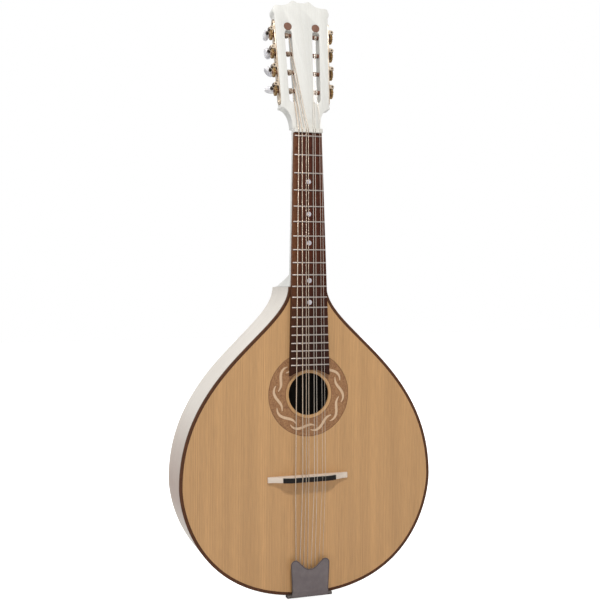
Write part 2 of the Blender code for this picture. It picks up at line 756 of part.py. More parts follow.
def head_outline():
    """Treble half of the headstock's face, from the nut up to the crest."""
    flare_start = HEAD_FLARE_START_U
    flare_rise = HEAD_CORNER_U - HEAD_CORNER_LIP - flare_start
    flare_run = HEAD_CORNER_HALF_WIDTH - BOARD_HALF_WIDTH_NUT
    points = [(BOARD_HALF_WIDTH_NUT, 0.0)]
    steps = 6
    for step in range(1, steps + 1):
        turn = radians(90.0 * step / steps)
        points.append((BOARD_HALF_WIDTH_NUT + flare_run * (1 - cos(turn)),
                       flare_start + flare_rise * sin(turn)))
    points += [
        (HEAD_CORNER_HALF_WIDTH, HEAD_CORNER_U),
        (HEAD_EDGE_HALF_WIDTH_START, HEAD_EDGE_START_U),
        (HEAD_EDGE_HALF_WIDTH_END, HEAD_EDGE_END_U),
        (HEAD_EDGE_HALF_WIDTH_END, HEAD_EDGE_END_U + HEAD_EAR_ROUND),
        (HEAD_EAR_HALF_WIDTH, HEAD_EAR_U),
        (HEAD_EAR_HALF_WIDTH - 0.15 * HEAD_EAR_ROUND, HEAD_EAR_U + 1.5 * HEAD_EAR_ROUND),
        (HEAD_EAR_HALF_WIDTH - HEAD_EAR_ROUND, HEAD_SHOULDER_U),
        (HEAD_CREST_HALF_WIDTH + HEAD_CREST_SWEEP, HEAD_SHOULDER_U + 0.1 * HEAD_CREST_SWEEP),
        (HEAD_CREST_HALF_WIDTH, HEAD_SHOULDER_U + HEAD_EAR_ROUND),
        (HEAD_HORN_HALF_WIDTH + 0.5 * HEAD_EAR_ROUND, HEAD_LENGTH + 0.8 * HEAD_HORN_RISE),
        (HEAD_HORN_HALF_WIDTH - 0.5 * HEAD_EAR_ROUND, HEAD_LENGTH + HEAD_HORN_RISE),
        (0.45 * HEAD_HORN_HALF_WIDTH, HEAD_LENGTH + 1.25 * HEAD_NOTCH_RISE),
        (0.0, HEAD_LENGTH + HEAD_NOTCH_RISE),
    ]
    return points


def head_frame():
    """The headstock's own frame: X across, Y from its face to its back, Z away from the nut."""
    turn = Matrix.Rotation(-radians(HEAD_TILT), 4, "X")
    return Matrix.Translation((0.0, 0.0, HEAD_BREAK_Z)) @ turn


def build_headstock(frame):
    outline = mirrored(head_outline())
    bm = bmesh.new()
    add_prism(bm, "Y", outline, 0.0, HEAD_THICKNESS)
    slope = radians(HEAD_TILT)
    for vertex in bm.verts:
        if vertex.co.z < 1e-6:
            vertex.co.z = vertex.co.y * tan(slope)
    head = finish("headstock", bm, PALE_WOOD, frame)
    for sign in (-1, 1):
        side = "bass" if sign < 0 else "treble"
        slot = bmesh.new()
        half = SLOT_WIDTH / 2
        low = arc((sign * slot_centre(SLOT_START_U), SLOT_START_U + half), half, 180, 360, 5)
        high = arc((sign * slot_centre(SLOT_END_U), SLOT_END_U - half), half, 0, 180, 5)
        add_prism(slot, "Y", low + high, -HEAD_THICKNESS, 2 * HEAD_THICKNESS)
        combine(head, cutter("slot_cutter_" + side, slot, frame), "DIFFERENCE")
        disc = bmesh.new()
        add_turned(disc, "Y", [(-SLOT_DISC_DEPTH, SLOT_DISC_RADIUS),
                               (SLOT_DISC_DEPTH, SLOT_DISC_RADIUS)],
                   (sign * SLOT_CENTRE_END, SLOT_DISC_U), 14)
        combine(head, cutter("slot_disc_cutter_" + side, disc, frame), "DIFFERENCE")
    return head


# Fingerboard, frets, nut


def build_fingerboard():
    low = LAST_FRET_Z - BOARD_TAIL_OVERHANG
    half_low = board_half_width(low)
    sagitta = BOARD_END_RADIUS - (BOARD_END_RADIUS ** 2 - half_low ** 2) ** 0.5
    steps = 10
    reach = degrees(atan2(half_low, BOARD_END_RADIUS - sagitta))
    end = arc((0.0, low + sagitta - BOARD_END_RADIUS), BOARD_END_RADIUS, 90 + reach, 90 - reach, steps)
    head_half = board_half_width(BOARD_HEAD_END)
    outline = end + [(head_half, BOARD_HEAD_END), (-head_half, BOARD_HEAD_END)]
    board = finish("fingerboard", prism("Y", outline, -BOARD_TOP, -GAP), ROSEWOOD)
    combine(board, cutter("fret_bars", fret_bars()), "UNION")
    dots = bmesh.new()
    for number in DOT_FRETS:
        z = (fret_z(number) + fret_z(number - 1)) / 2
        add_turned(dots, "Y", [(-BOARD_TOP - INLAY_RISE, DOT_RADIUS),
                               (-BOARD_TOP + WELD_DEPTH, DOT_RADIUS)], (0.0, z), 10)
    combine(board, cutter("position_dots", dots), "UNION")


def fret_bars():
    """The zero fret and the other frets: crowned bars pressed into the board."""
    bm = bmesh.new()
    half = FRET_WIDTH / 2
    shoulder = -BOARD_TOP - 0.6 * FRET_HEIGHT
    section = [(WELD_DEPTH - BOARD_TOP, -half), (-BOARD_TOP - 0.1 * FRET_HEIGHT, -half),
               (shoulder, -0.7 * half), (-BOARD_TOP - FRET_HEIGHT, 0.0), (shoulder, 0.7 * half),
               (-BOARD_TOP - 0.1 * FRET_HEIGHT, half), (WELD_DEPTH - BOARD_TOP, half)]
    for number in range(FRET_COUNT + 1):
        z = fret_z(number)
        reach = board_half_width(z) - FRET_INSET
        add_prism(bm, "X", [(y, z + offset) for y, offset in section], -reach, reach)
    return bm


def string_spots(pair_spacings, course_spacing, middle):
    """X of the eight strings, from the bass side."""
    spots = []
    for course, pair_spacing in enumerate(pair_spacings):
        for member in range(2):
            across = (course - 1.5) * course_spacing + (member - 0.5) * pair_spacing
            spots.append(middle + across)
    return spots


def notched_top(half_width, top, spots, depths, widths):
    """The upper side of a nut or saddle, from +X to -X, with a notch for each string."""
    points = [(half_width, top)]
    for x, depth, width in sorted(zip(spots, depths, widths), reverse=True):
        points += [(x + width / 2, top), (x + width / 2, depth),
                   (x - width / 2, depth), (x - width / 2, top)]
    points.append((-half_width, top))
    return points


STRING_DIAMETERS = [diameter for diameter in COURSE_DIAMETERS for _ in range(2)]
NUT_SPOTS = string_spots(PAIR_SPACINGS_NUT, COURSE_SPACING_NUT, STRINGS_MIDDLE_NUT)
BRIDGE_SPOTS = string_spots(PAIR_SPACINGS_BRIDGE, COURSE_SPACING_BRIDGE, STRINGS_MIDDLE_BRIDGE)


def zero_fret_y(diameter):
    return -(FRET_TOP + GAP + diameter / 2)


def nut_y(diameter):
    """The string's centre where it leaves the nut, a little behind the zero fret's level."""
    return zero_fret_y(diameter) + NUT_NOTCH_DROP


def saddle_y(diameter):
    return -(SADDLE_HEIGHT - SADDLE_NOTCH_DEPTH + GAP + diameter / 2)


def build_nut():
    half = board_half_width(BOARD_HEAD_END)
    floors = [nut_y(d) + d / 2 + NOTCH_CLEARANCE for d in STRING_DIAMETERS]
    widths = [d + 2 * NOTCH_CLEARANCE for d in STRING_DIAMETERS]
    outline = [(-half, -GAP), (half, -GAP)]
    outline += notched_top(half, -NUT_HEIGHT, NUT_SPOTS, floors, widths)
    low = BOARD_HEAD_END + GAP
    finish("nut", prism("Z", outline, low, low + NUT_THICKNESS), BONE)


# Bridge


def bridge_top(x):
    """Height of the bridge's wood: level under the strings, swept down to thin wing tips."""
    crest = BRIDGE_CREST_HALF_LENGTH
    share = max(0.0, (abs(x) - crest) / (BRIDGE_LENGTH / 2 - crest))
    return BRIDGE_TIP_HEIGHT + (BRIDGE_HEIGHT - BRIDGE_TIP_HEIGHT) * (1 + cos(pi * share)) / 2


def build_bridge():
    high = SADDLE_Z + SADDLE_THICKNESS / 2 + GAP + BRIDGE_WALL
    low = SADDLE_Z - SADDLE_THICKNESS / 2
    tip = BRIDGE_LENGTH / 2
    crest = BRIDGE_CREST_HALF_LENGTH
    steps = 7
    xs = [tip + (crest - tip) * step / steps for step in range(steps + 1)]
    half = [(tip, -GAP)] + [(x, -bridge_top(x)) for x in xs]
    outline = half + [(-x, y) for x, y in reversed(half)]
    frame = empty("bridge_frame", Matrix.Translation((BRIDGE_MIDDLE_X, 0.0, 0.0)))
    base = finish("bridge_base", prism("Z", outline, low, high), PALE_WOOD, frame)
    seat = bmesh.new()
    reach = SADDLE_HALF_LENGTH
    floor = BRIDGE_HEIGHT - SADDLE_DEPTH
    add_box(seat, (-reach - GAP, -SADDLE_HEIGHT, low - CUT_MARGIN),
            (reach + GAP, -floor, high - BRIDGE_WALL))
    combine(base, cutter("saddle_seat_cutter", seat, frame), "DIFFERENCE")
    proud = SADDLE_HEIGHT - BRIDGE_HEIGHT
    floors = [saddle_y(d) + d / 2 + GAP for d in STRING_DIAMETERS]
    widths = [d + 2 * NOTCH_CLEARANCE for d in STRING_DIAMETERS]
    slope = [(x, -bridge_top(x) - proud) for x in (reach, (reach + crest) / 2)]
    outline = [(-reach, -floor - GAP), (reach, -floor - GAP)] + slope
    spots = [x - BRIDGE_MIDDLE_X for x in BRIDGE_SPOTS]
    outline += notched_top(crest, -SADDLE_HEIGHT, spots, floors, widths)
    outline += [(-x, y) for x, y in reversed(slope)]
    saddle = prism("Z", outline, SADDLE_Z - SADDLE_THICKNESS / 2, SADDLE_Z + SADDLE_THICKNESS / 2)
    finish("bridge_saddle", saddle, EBONY, frame)


# Tailpiece


def hook_spot(number):
    return (number - 3.5) * HOOK_SPACING


def build_tailpiece_base(frame):
    """Sheet bent over the tail's edge: a drop with the screws, a lap with eight hooks."""
    t = TAILPIECE_THICKNESS
    inner_z = TAIL_Z - GAP
    outer_z = inner_z - t
    inner_y = -GAP
    outer_y = inner_y - t
    hook_top = -GAP - t - HOOK_HEIGHT
    low_lip = HOOK_Z - HOOK_LIP
    side = [
        (BASE_DROP, inner_z), (inner_y, inner_z), (inner_y, HOOK_Z), (hook_top, HOOK_Z),
        (hook_top, low_lip), (hook_top + t, low_lip), (hook_top + t, HOOK_Z - t),
        (outer_y, HOOK_Z - t), (outer_y, outer_z + BASE_EDGE_ROUND),
        (outer_y + 0.5 * BASE_EDGE_ROUND, outer_z),
        (BASE_DROP, outer_z),
    ]
    half = COVER_HALF_WIDTH + GAP + KNUCKLE_LENGTH
    base = finish("tailpiece_base", prism("X", side, -half, half), STEEL, frame)
    combs = bmesh.new()
    narrow = bmesh.new()
    edges = [hook_spot(0) - HOOK_WIDTH / 2, hook_spot(7) + HOOK_WIDTH / 2]
    cuts = [(-half - CUT_MARGIN, edges[0]), (edges[1], half + CUT_MARGIN)]
    for number in range(7):
        cuts.append((hook_spot(number) + HOOK_WIDTH / 2, hook_spot(number + 1) - HOOK_WIDTH / 2))
    for left, right in cuts:
        add_box(combs, (left, hook_top - CUT_MARGIN, low_lip - CUT_MARGIN),
                (right, CUT_MARGIN, HOOK_Z + CUT_MARGIN))
    for sign in (-1, 1):
        near, far = sorted((sign * LAP_HALF_WIDTH, sign * (half + CUT_MARGIN)))
        add_box(narrow, (near, hook_top - 2 * CUT_MARGIN, PIN_Z + 1.1 * BARREL_RADIUS),
                (far, 2 * CUT_MARGIN, HOOK_Z + 2 * CUT_MARGIN))
    combine(base, cutter("hook_comb_cutter", combs, frame), "DIFFERENCE")
    combine(base, cutter("lap_side_cutter", narrow, frame), "DIFFERENCE")
    barrels = bmesh.new()
    for sign in (-1, 1):
        near, far = sorted((sign * (COVER_HALF_WIDTH + GAP), sign * half))
        section = arc((PIN_Y, PIN_Z), BARREL_RADIUS, 90, 270, 6)
        section += [(outer_y + WELD_DEPTH, PIN_Z - 0.6 * BARREL_RADIUS),
                    (outer_y + WELD_DEPTH, PIN_Z + 0.6 * BARREL_RADIUS)]
        add_prism(barrels, "X", section, near, far)
    combine(base, cutter("barrel_root", barrels, frame), "UNION")
    bores = bmesh.new()
    add_bore(bores, "X", (-half - CUT_MARGIN, half + CUT_MARGIN), PIN_RADIUS, (PIN_Y, PIN_Z), 10)
    combine(base, cutter("barrel_bore_cutter", bores, frame), "DIFFERENCE")
    trims = bmesh.new()
    for sign in (-1, 1):
        past = sign * (half + CUT_MARGIN)
        end = BASE_DROP + CUT_MARGIN
        corner = [(past, BASE_TAPER_START), (sign * half, BASE_TAPER_START),
                  (sign * BASE_FOOT_HALF_WIDTH, BASE_DROP - BASE_FOOT_CORNER),
                  (sign * (BASE_FOOT_HALF_WIDTH - BASE_FOOT_CORNER), end), (past, end)]
        add_prism(trims, "Z", corner, outer_z - CUT_MARGIN, inner_z + CUT_MARGIN)
    combine(base, cutter("base_trim_cutter", trims, frame), "DIFFERENCE")
    screws = bmesh.new()
    for x, y in TAIL_SCREWS:
        add_screw(screws, "Z", outer_z + WELD_DEPTH, 1, (x, y))
    combine(base, cutter("tail_screws", screws, frame), "UNION")


def cover_outline():
    """Treble half of the cover's face: straight side, round horn, dip to the notch."""
    horn_x = COVER_HALF_WIDTH - COVER_HORN_RADIUS + COVER_HORN_SPREAD
    horn_z = COVER_HORN_Z - COVER_HORN_RADIUS
    points = [(COVER_HALF_WIDTH, PIN_Z - 2 * BARREL_RADIUS), (COVER_HALF_WIDTH, COVER_SIDE_TOP_Z)]
    points += arc((horn_x, horn_z), COVER_HORN_RADIUS, 0, 125, 7)
    dip = COVER_NOTCH_Z + COVER_NOTCH_RADIUS
    points += arc((0.0, dip), COVER_NOTCH_RADIUS, -42, -90, 4)
    return points


def build_tailpiece_cover(frame):
    """Sheet that swings on the pin; at rest it lies over the hooks."""
    t = TAILPIECE_THICKNESS
    rise = -COVER_RISE
    side = arc((PIN_Y, PIN_Z), BARREL_RADIUS, 120, -180, 10)
    crown = rise - COVER_CROWN
    past = COVER_HORN_Z + 2 * CUT_MARGIN
    side += [(rise, COVER_BEND_Z - 1.5 * t), (crown, past), (crown + t, past),
             (rise + t, COVER_BEND_Z - t)]
    reach = COVER_HALF_WIDTH + COVER_HORN_RADIUS
    cover = finish("tailpiece_cover", prism("X", side, -reach, reach), GREY_LACQUER, frame)
    shape = bmesh.new()
    add_prism(shape, "Y", mirrored(cover_outline()), -2 * COVER_RISE, COVER_RISE)
    combine(cover, cutter("cover_outline_cutter", shape, frame), "INTERSECT")
    bore = bmesh.new()
    add_bore(bore, "X", (-reach, reach), PIN_RADIUS, (PIN_Y, PIN_Z), 10)
    combine(cover, cutter("cover_bore_cutter", bore, frame), "DIFFERENCE")
    half = COVER_HALF_WIDTH + GAP + KNUCKLE_LENGTH
    pin = bmesh.new()
    add_turned(pin, "X", [(-half, PIN_RADIUS), (half, PIN_RADIUS)], (PIN_Y, PIN_Z), 10)
    finish("tailpiece_pin", pin, STEEL, frame)


# Machine heads


def tuner_frames(frame):
    """One frame a side, on the headstock's edge at the lowest roller: X out, Z along the edge."""
    frames = []
    for name, sign in (("bass", -1), ("treble", 1)):
        turn = Matrix.Rotation(sign * HEAD_EDGE_SLOPE, 4, "Y")
        place = Matrix.Translation((sign * head_edge(FIRST_ROLLER_U), 0.0, FIRST_ROLLER_U))
        frames.append((name, sign, empty("tuner_frame_" + name, place @ turn, frame)))
    return frames


def screw_spots():
    """Heights of a plate's five screws: past both ends and between the rollers."""
    low = PLATE_SCREW_MARGIN - PLATE_OVERHANG_LOW
    high = (ROLLER_COUNT - 1) * ROLLER_PITCH + PLATE_OVERHANG_HIGH - PLATE_SCREW_MARGIN
    between = [(k + PLATE_SCREW_SHARE) * ROLLER_PITCH for k in range(ROLLER_COUNT - 1)]
    return [low] + between + [high]


def plate_outline():
    low = -PLATE_OVERHANG_LOW
    high = (ROLLER_COUNT - 1) * ROLLER_PITCH + PLATE_OVERHANG_HIGH
    near = PLATE_NEAR_V
    far = PLATE_FAR_V
    cut = PLATE_CORNER
    return [(near + cut, low), (far - cut, low), (far, low + cut), (far, high - cut),
            (far - cut, high), (near + cut, high), (near, high - cut), (near, low + cut)]


def build_tuner_plate(name, sign, frame):
    inner = sign * GAP
    outer = sign * (GAP + PLATE_THICKNESS)
    low, high = min(inner, outer), max(inner, outer)
    plate = finish("tuner_plate_" + name, prism("X", plate_outline(), low, high), STEEL, frame)
    ears = bmesh.new()
    bores = bmesh.new()
    root = sign * (GAP + PLATE_THICKNESS / 2)
    tip = sign * (GEAR_MIDDLE + WORM_SHAFT_RADIUS + EAR_RIM)
    for roller in range(ROLLER_COUNT):
        z = roller * ROLLER_PITCH + WORM_OFFSET
        for side in (-1, 1):
            near = ROLLER_V + side * (THREAD_HALF_LENGTH + 2 * GAP)
            far = near + side * EAR_THICKNESS
            outline = [(root, z - EAR_HALF_WIDTH), (tip, z - 0.55 * EAR_HALF_WIDTH),
                       (tip, z + 0.55 * EAR_HALF_WIDTH), (root, z + EAR_HALF_WIDTH)]
            add_prism(ears, "Y", outline, min(near, far), max(near, far))
        reach = THREAD_HALF_LENGTH + EAR_THICKNESS + 2 * CUT_MARGIN
        add_bore(bores, "Y", (ROLLER_V - reach, ROLLER_V + reach), WORM_SHAFT_RADIUS,
                 (sign * GEAR_MIDDLE, z), 8)
        add_bore(bores, "X", (-sign * CUT_MARGIN, sign * 2 * PLATE_THICKNESS), ROLLER_RADIUS,
                 (ROLLER_V, roller * ROLLER_PITCH), 10)
    combine(plate, cutter("ear_root_" + name, ears, frame), "UNION")
    combine(plate, cutter("plate_bore_cutter_" + name, bores, frame), "DIFFERENCE")
    screws = bmesh.new()
    for z in screw_spots():
        add_screw(screws, "X", sign * (GAP + PLATE_THICKNESS - WELD_DEPTH), -sign,
                  (PLATE_MIDDLE_V, z))
    combine(plate, cutter("plate_screws_" + name, screws, frame), "UNION")


def roller_profile(sign):
    """Stations along a roller, outwards from its blind end: position and radius."""
    slot_inner = head_edge(FIRST_ROLLER_U) - slot_centre(FIRST_ROLLER_U) + SLOT_WIDTH / 2
    blind = -(slot_inner + ROLLER_BLIND_DEPTH)
    gear_near = GEAR_MIDDLE - GEAR_THICKNESS / 2
    gear_far = GEAR_MIDDLE + GEAR_THICKNESS / 2
    spots = [(blind, ROLLER_RADIUS), (gear_near - GAP, ROLLER_RADIUS),
             (gear_near - GAP, ROLLER_SPIGOT_RADIUS), (gear_far + GAP, ROLLER_SPIGOT_RADIUS),
             (gear_far + GAP, SCREW_HEAD_RADIUS),
             (gear_far + GAP + SCREW_HEAD_HEIGHT, ROLLER_SPIGOT_RADIUS)]
    return [(sign * along, radius) for along, radius in spots]


def build_roller_bores(head, sides_frames):
    """Bores for the rollers and pilot holes for the plates' screws, in the headstock."""
    for name, sign, frame in sides_frames:
        bm = bmesh.new()
        blind = abs(roller_profile(1)[0][0]) + GAP
        for roller in range(ROLLER_COUNT):
            add_bore(bm, "X", (-sign * blind, sign * 4 * CUT_MARGIN), ROLLER_RADIUS,
                     (ROLLER_V, roller * ROLLER_PITCH), 10)
        for z in screw_spots():
            add_bore(bm, "X", (-sign * (SCREW_LENGTH + GAP), sign * 4 * CUT_MARGIN), SCREW_SHANK_RADIUS,
                     (PLATE_MIDDLE_V, z), 6, GAP)
        combine(head, cutter("roller_bore_cutter_" + name, bm, frame), "DIFFERENCE")


def gear_mesh():
    """Spur wheel whose teeth lean with the worm's thread, bored for the roller's spigot."""
    pitch_radius = GEAR_TEETH * GEAR_MODULE / 2
    lead = atan(WORM_PITCH / (2 * pi * (WORM_OFFSET - pitch_radius)))
    twist = GEAR_THICKNESS * tan(lead) / pitch_radius
    root_half = GEAR_ROOT_SHARE * 2 * pi / GEAR_TEETH
    tip_half = GEAR_TIP_SHARE * 2 * pi / GEAR_TEETH
    bm = bmesh.new()
    rings = []
    for end in (-1, 1):
        ring = []
        for tooth in range(GEAR_TEETH):
            middle = 2 * pi * tooth / GEAR_TEETH + end * twist / 2
            for offset, radius in ((-root_half, GEAR_ROOT_RADIUS), (-tip_half, GEAR_TIP_RADIUS),
                                   (tip_half, GEAR_TIP_RADIUS), (root_half, GEAR_ROOT_RADIUS)):
                turn = middle + offset + pi / 2
                ring.append(bm.verts.new((end * GEAR_THICKNESS / 2, radius * cos(turn),
                                          radius * sin(turn))))
        rings.append(ring)
    join_rings(bm, rings)
    return bm


def worm_mesh():
    """The worm and its shaft: a cam-shaped section, turned as it rises, makes the right-hand thread."""
    crest = 2 * pi * THREAD_CREST_HALF_WIDTH / WORM_PITCH
    root = 2 * pi * THREAD_ROOT_HALF_WIDTH / WORM_PITCH
    shaft = (pi - root) / 2
    turns = [-crest, 0.0, crest] + [root + step * shaft for step in range(5)]
    thread = [WORM_CREST_RADIUS] * 3 + [WORM_SHAFT_RADIUS] * 5
    plain = [WORM_SHAFT_RADIUS] * 8
    wide = [FERRULE_RADIUS] * 8
    start = -THREAD_TURNS * WORM_PITCH / 2
    ferrule = BUTTON_START - ROLLER_V - GAP
    end = ferrule + BUTTON_SOCKET_DEPTH
    stations = [(-THREAD_HALF_LENGTH - 2 * GAP - EAR_THICKNESS, 0.0, plain),
                (-THREAD_HALF_LENGTH, 0.0, plain)]
    for step in range(THREAD_TURNS * THREAD_STEPS + 1):
        share = step / THREAD_STEPS
        stations.append((start + share * WORM_PITCH, 2 * pi * share, thread))
    stations += [(THREAD_HALF_LENGTH, 0.0, plain), (ferrule - FERRULE_LENGTH, 0.0, plain),
                 (ferrule - FERRULE_LENGTH, 0.0, wide), (ferrule, 0.0, wide),
                 (ferrule, 0.0, plain), (end, 0.0, plain)]
    bm = bmesh.new()
    rings = []
    for along, twist, radii in stations:
        rings.append([bm.verts.new((radius * sin(twist + turn), along, radius * cos(twist + turn)))
                      for turn, radius in zip(turns, radii)])
    join_rings(bm, rings)
    return bm


def button_mesh():
    """Oval button, flat sided with rounded rims; its long axis is X at rest angle 0."""
    bm = bmesh.new()
    middle = BUTTON_LENGTH / 2
    sides = 16
    outline = []
    for side in range(sides):
        turn = 2 * pi * side / sides
        outline.append((BUTTON_HALF_WIDTH * cos(turn), middle + middle * sin(turn)))
    levels = ((-1.0, 0.72), (-0.45, 1.0), (0.45, 1.0), (1.0, 0.72))
    rings = []
    for level, share in levels:
        rings.append([bm.verts.new((x * share, middle + (y - middle) * share,
                                    level * BUTTON_THICKNESS / 2)) for x, y in outline])
    join_rings(bm, rings)
    return bm


def evaluated_copy(item, name):
    """The mesh of an object with its modifiers applied."""
    bpy.context.view_layer.update()
    graph = bpy.context.evaluated_depsgraph_get()
    mesh = bpy.data.meshes.new_from_object(item.evaluated_get(graph))
    mesh.name = name
    shade(mesh)
    return mesh


def cut_once(name, body_bm, tool_bm, operation):
    """Joins or cuts two meshes once, so that several objects can share the result."""
    body = cutter(name + "_blank", body_bm)
    tool = cutter(name + "_tool", tool_bm)
    combine(body, tool, operation)
    mesh = evaluated_copy(body, name)
    bpy.data.objects.remove(body, do_unlink=True)
    bpy.data.objects.remove(tool, do_unlink=True)
    return mesh


def build_tuners(sides_frames):
    spigot = bmesh.new()
    add_bore(spigot, "X", (-GEAR_THICKNESS, GEAR_THICKNESS), ROLLER_SPIGOT_RADIUS, (0.0, 0.0), 8)
    gear = cut_once("gear", gear_mesh(), spigot, "DIFFERENCE")
    worm = bpy.data.meshes.new("worm")
    thread = worm_mesh()
    bmesh.ops.recalc_face_normals(thread, faces=thread.faces)
    thread.to_mesh(worm)
    thread.free()
    shade(worm)
    socket = bmesh.new()
    add_bore(socket, "Y", (-2 * CUT_MARGIN, BUTTON_SOCKET_DEPTH), WORM_SHAFT_RADIUS, (0.0, 0.0), 8)
    button = cut_once("button", button_mesh(), socket, "DIFFERENCE")
    for name, sign, frame in sides_frames:
        angles = BUTTON_ANGLES_BASS if sign < 0 else BUTTON_ANGLES_TREBLE
        for roller in range(ROLLER_COUNT):
            label = name + "_" + str(roller + 1)
            z = roller * ROLLER_PITCH
            shaft = bmesh.new()
            add_turned(shaft, "X", roller_profile(sign), (0.0, 0.0), 10)
            made = finish("roller_" + label, shaft, BRASS, frame)
            made.location = (0.0, ROLLER_V, z)
            wheel = add_object("gear_" + label, gear, BRASS, frame)
            wheel.location = (sign * GEAR_MIDDLE, ROLLER_V, z)
            screw = add_object("worm_" + label, worm, DARK_STEEL, frame)
            screw.location = (sign * GEAR_MIDDLE, ROLLER_V, z + WORM_OFFSET)
            knob = add_object("button_" + label, button, PEARL, frame)
            knob.location = (sign * GEAR_MIDDLE, BUTTON_START, z + WORM_OFFSET)
            knob.rotation_euler = (0.0, radians(angles[roller]), 0.0)


# Strings


def string_route(number, frame_matrix):
    """Points of one string, from its eye at the tail to the end of its winding."""
    diameter = STRING_DIAMETERS[number]
    radius = diameter / 2
    points = []
    eye_y = -GAP - TAILPIECE_THICKNESS - GAP - radius
    x = TAILPIECE_MIDDLE_X + hook_spot(number)
    reach = STRING_EYE_HALF_WIDTH
    corner = STRING_EYE_CORNER
    low = HOOK_Z - TAILPIECE_THICKNESS - GAP - radius
    high = HOOK_Z + STRING_EYE_LENGTH
    eye = [(-radius - GAP, high), (-reach, HOOK_Z), (-reach, low + corner),
           (corner - reach, low), (reach - corner, low), (reach, low + corner),
           (reach, HOOK_Z), (radius + GAP / 2, high)]
    points += [Vector((x + across, eye_y, z)) for across, z in eye]
    points.append(Vector((BRIDGE_SPOTS[number], saddle_y(diameter), SADDLE_Z)))
    points.append(Vector((NUT_SPOTS[number], zero_fret_y(diameter), 0.0)))
    leave = Vector((NUT_SPOTS[number], nut_y(diameter), HEAD_BREAK_Z - GAP / 2))
    points.append(leave)
    sign = -1 if number < 4 else 1
    order = number if sign < 0 else 7 - number
    u = FIRST_ROLLER_U + order * ROLLER_PITCH
    slope_shift = Vector((sign * sin(HEAD_EDGE_SLOPE), 0.0, cos(HEAD_EDGE_SLOPE)))
    across = Vector((sign * cos(HEAD_EDGE_SLOPE), 0.0, -sin(HEAD_EDGE_SLOPE)))
    start = Vector((sign * head_edge(FIRST_ROLLER_U), ROLLER_V, FIRST_ROLLER_U))
    axis_point = start + slope_shift * (order * ROLLER_PITCH)
    middle = -(head_edge(u) - slot_centre(u)) / cos(HEAD_EDGE_SLOPE)
    winding_radius = ROLLER_RADIUS + GAP + radius
    step_out = diameter + WINDING_SPACE
    run_on = middle - RUN_ON_OFFSETS[order]
    inner = frame_matrix.inverted() @ leave
    rise = ROLLER_V - inner.y
    run = axis_point.z - inner.z
    dip = atan2(rise, run) - asin(winding_radius / hypot(rise, run))
    winding = []
    steps = round(WINDING_TURNS * WINDING_STEPS)
    for step in range(steps + 1):
        turn = dip + 2 * pi * step / WINDING_STEPS
        out = run_on + step_out * step / WINDING_STEPS
        spot = axis_point + across * out
        spot = spot + Vector((0.0, -winding_radius * cos(turn), 0.0))
        spot = spot + slope_shift * (winding_radius * sin(turn))
        winding.append(frame_matrix @ spot)
    tail = (winding[-1] - winding[-2]).normalized() * diameter
    winding.append(winding[-1] + tail)
    return points + winding


def build_strings(frame_matrix):
    for number, diameter in enumerate(STRING_DIAMETERS):
        name = "string_" + COURSE_NAMES[number // 2] + str(number % 2 + 1)
        curve = bpy.data.curves.new(name, "CURVE")
        curve.dimensions = "3D"
        curve.bevel_depth = diameter / 2
        curve.bevel_resolution = 1
        curve.use_fill_caps = True
        route = string_route(number, frame_matrix)
        spline = curve.splines.new("POLY")
        spline.points.add(len(route) - 1)
        for place, point in zip(spline.points, route):
            place.co = (*point, 1.0)
        look = BRONZE if diameter > WOUND_FROM else STEEL
        add_object(name, curve, look)


def build():
    build_soundboard()
    build_rosette()
    build_back()
    build_binding()
    build_sides()
    build_tail_block()
    build_neck()
    frame = empty("headstock_frame", head_frame())
    head = build_headstock(frame)
    sides_frames = tuner_frames(frame)
    build_roller_bores(head, sides_frames)
    for name, sign, tuner_frame in sides_frames:
        build_tuner_plate(name, sign, tuner_frame)
    build_tuners(sides_frames)
    build_fingerboard()
    build_nut()
    build_bridge()
    tail_frame = empty("tailpiece_frame", Matrix.Translation((TAILPIECE_MIDDLE_X, 0.0, 0.0)))
    build_tailpiece_base(tail_frame)
    build_tailpiece_cover(tail_frame)
    build_strings(head_frame())


build()
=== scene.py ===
"""Looks of the mandola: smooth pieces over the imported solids, wood, metal and pearl finishes,
a pale floor, soft light and the camera.

All lengths are in metres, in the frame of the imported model: X across, Y to the back, Z up.
"""
from math import asin, atan, atan2, cos, hypot, pi, radians, sin, tan

import bmesh
import bpy
from mathutils import Matrix, Vector


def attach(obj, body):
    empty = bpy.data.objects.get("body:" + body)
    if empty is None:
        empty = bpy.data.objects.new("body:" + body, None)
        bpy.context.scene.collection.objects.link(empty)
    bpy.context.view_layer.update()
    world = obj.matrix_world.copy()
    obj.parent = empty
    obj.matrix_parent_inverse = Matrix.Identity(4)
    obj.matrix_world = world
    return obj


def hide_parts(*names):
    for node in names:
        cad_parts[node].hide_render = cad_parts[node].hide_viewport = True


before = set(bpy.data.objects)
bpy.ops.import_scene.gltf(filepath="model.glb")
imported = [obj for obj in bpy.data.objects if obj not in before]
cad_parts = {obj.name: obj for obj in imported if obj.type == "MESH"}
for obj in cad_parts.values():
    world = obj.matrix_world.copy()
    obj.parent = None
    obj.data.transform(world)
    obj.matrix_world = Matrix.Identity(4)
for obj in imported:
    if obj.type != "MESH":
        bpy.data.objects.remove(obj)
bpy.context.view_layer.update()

# Scale and fingerboard
SCALE_LENGTH = 0.420
FRET_COUNT = 19
NECK_JOINT_FRET = 10
DOT_FRETS = (3, 5, 7, 10, 12)
GAP = 0.0003
BOARD_HALF_NUT = 0.0179
BOARD_HALF_LAST = 0.0249
BOARD_TOP = 0.0063
BOARD_HEAD_END = 0.0040
BOARD_END_CORNER_Z = -0.2930
BOARD_END_RADIUS = 0.0460
FRET_WIDTH = 0.0018
FRET_HEIGHT = 0.0011
FRET_INSET = 0.0004
FRET_END_ROUND = 0.0003
FRET_TANG = 0.0005
BOARD_ROUND = 0.0004
DOT_RADIUS = 0.0030
DOT_RISE = 0.00015

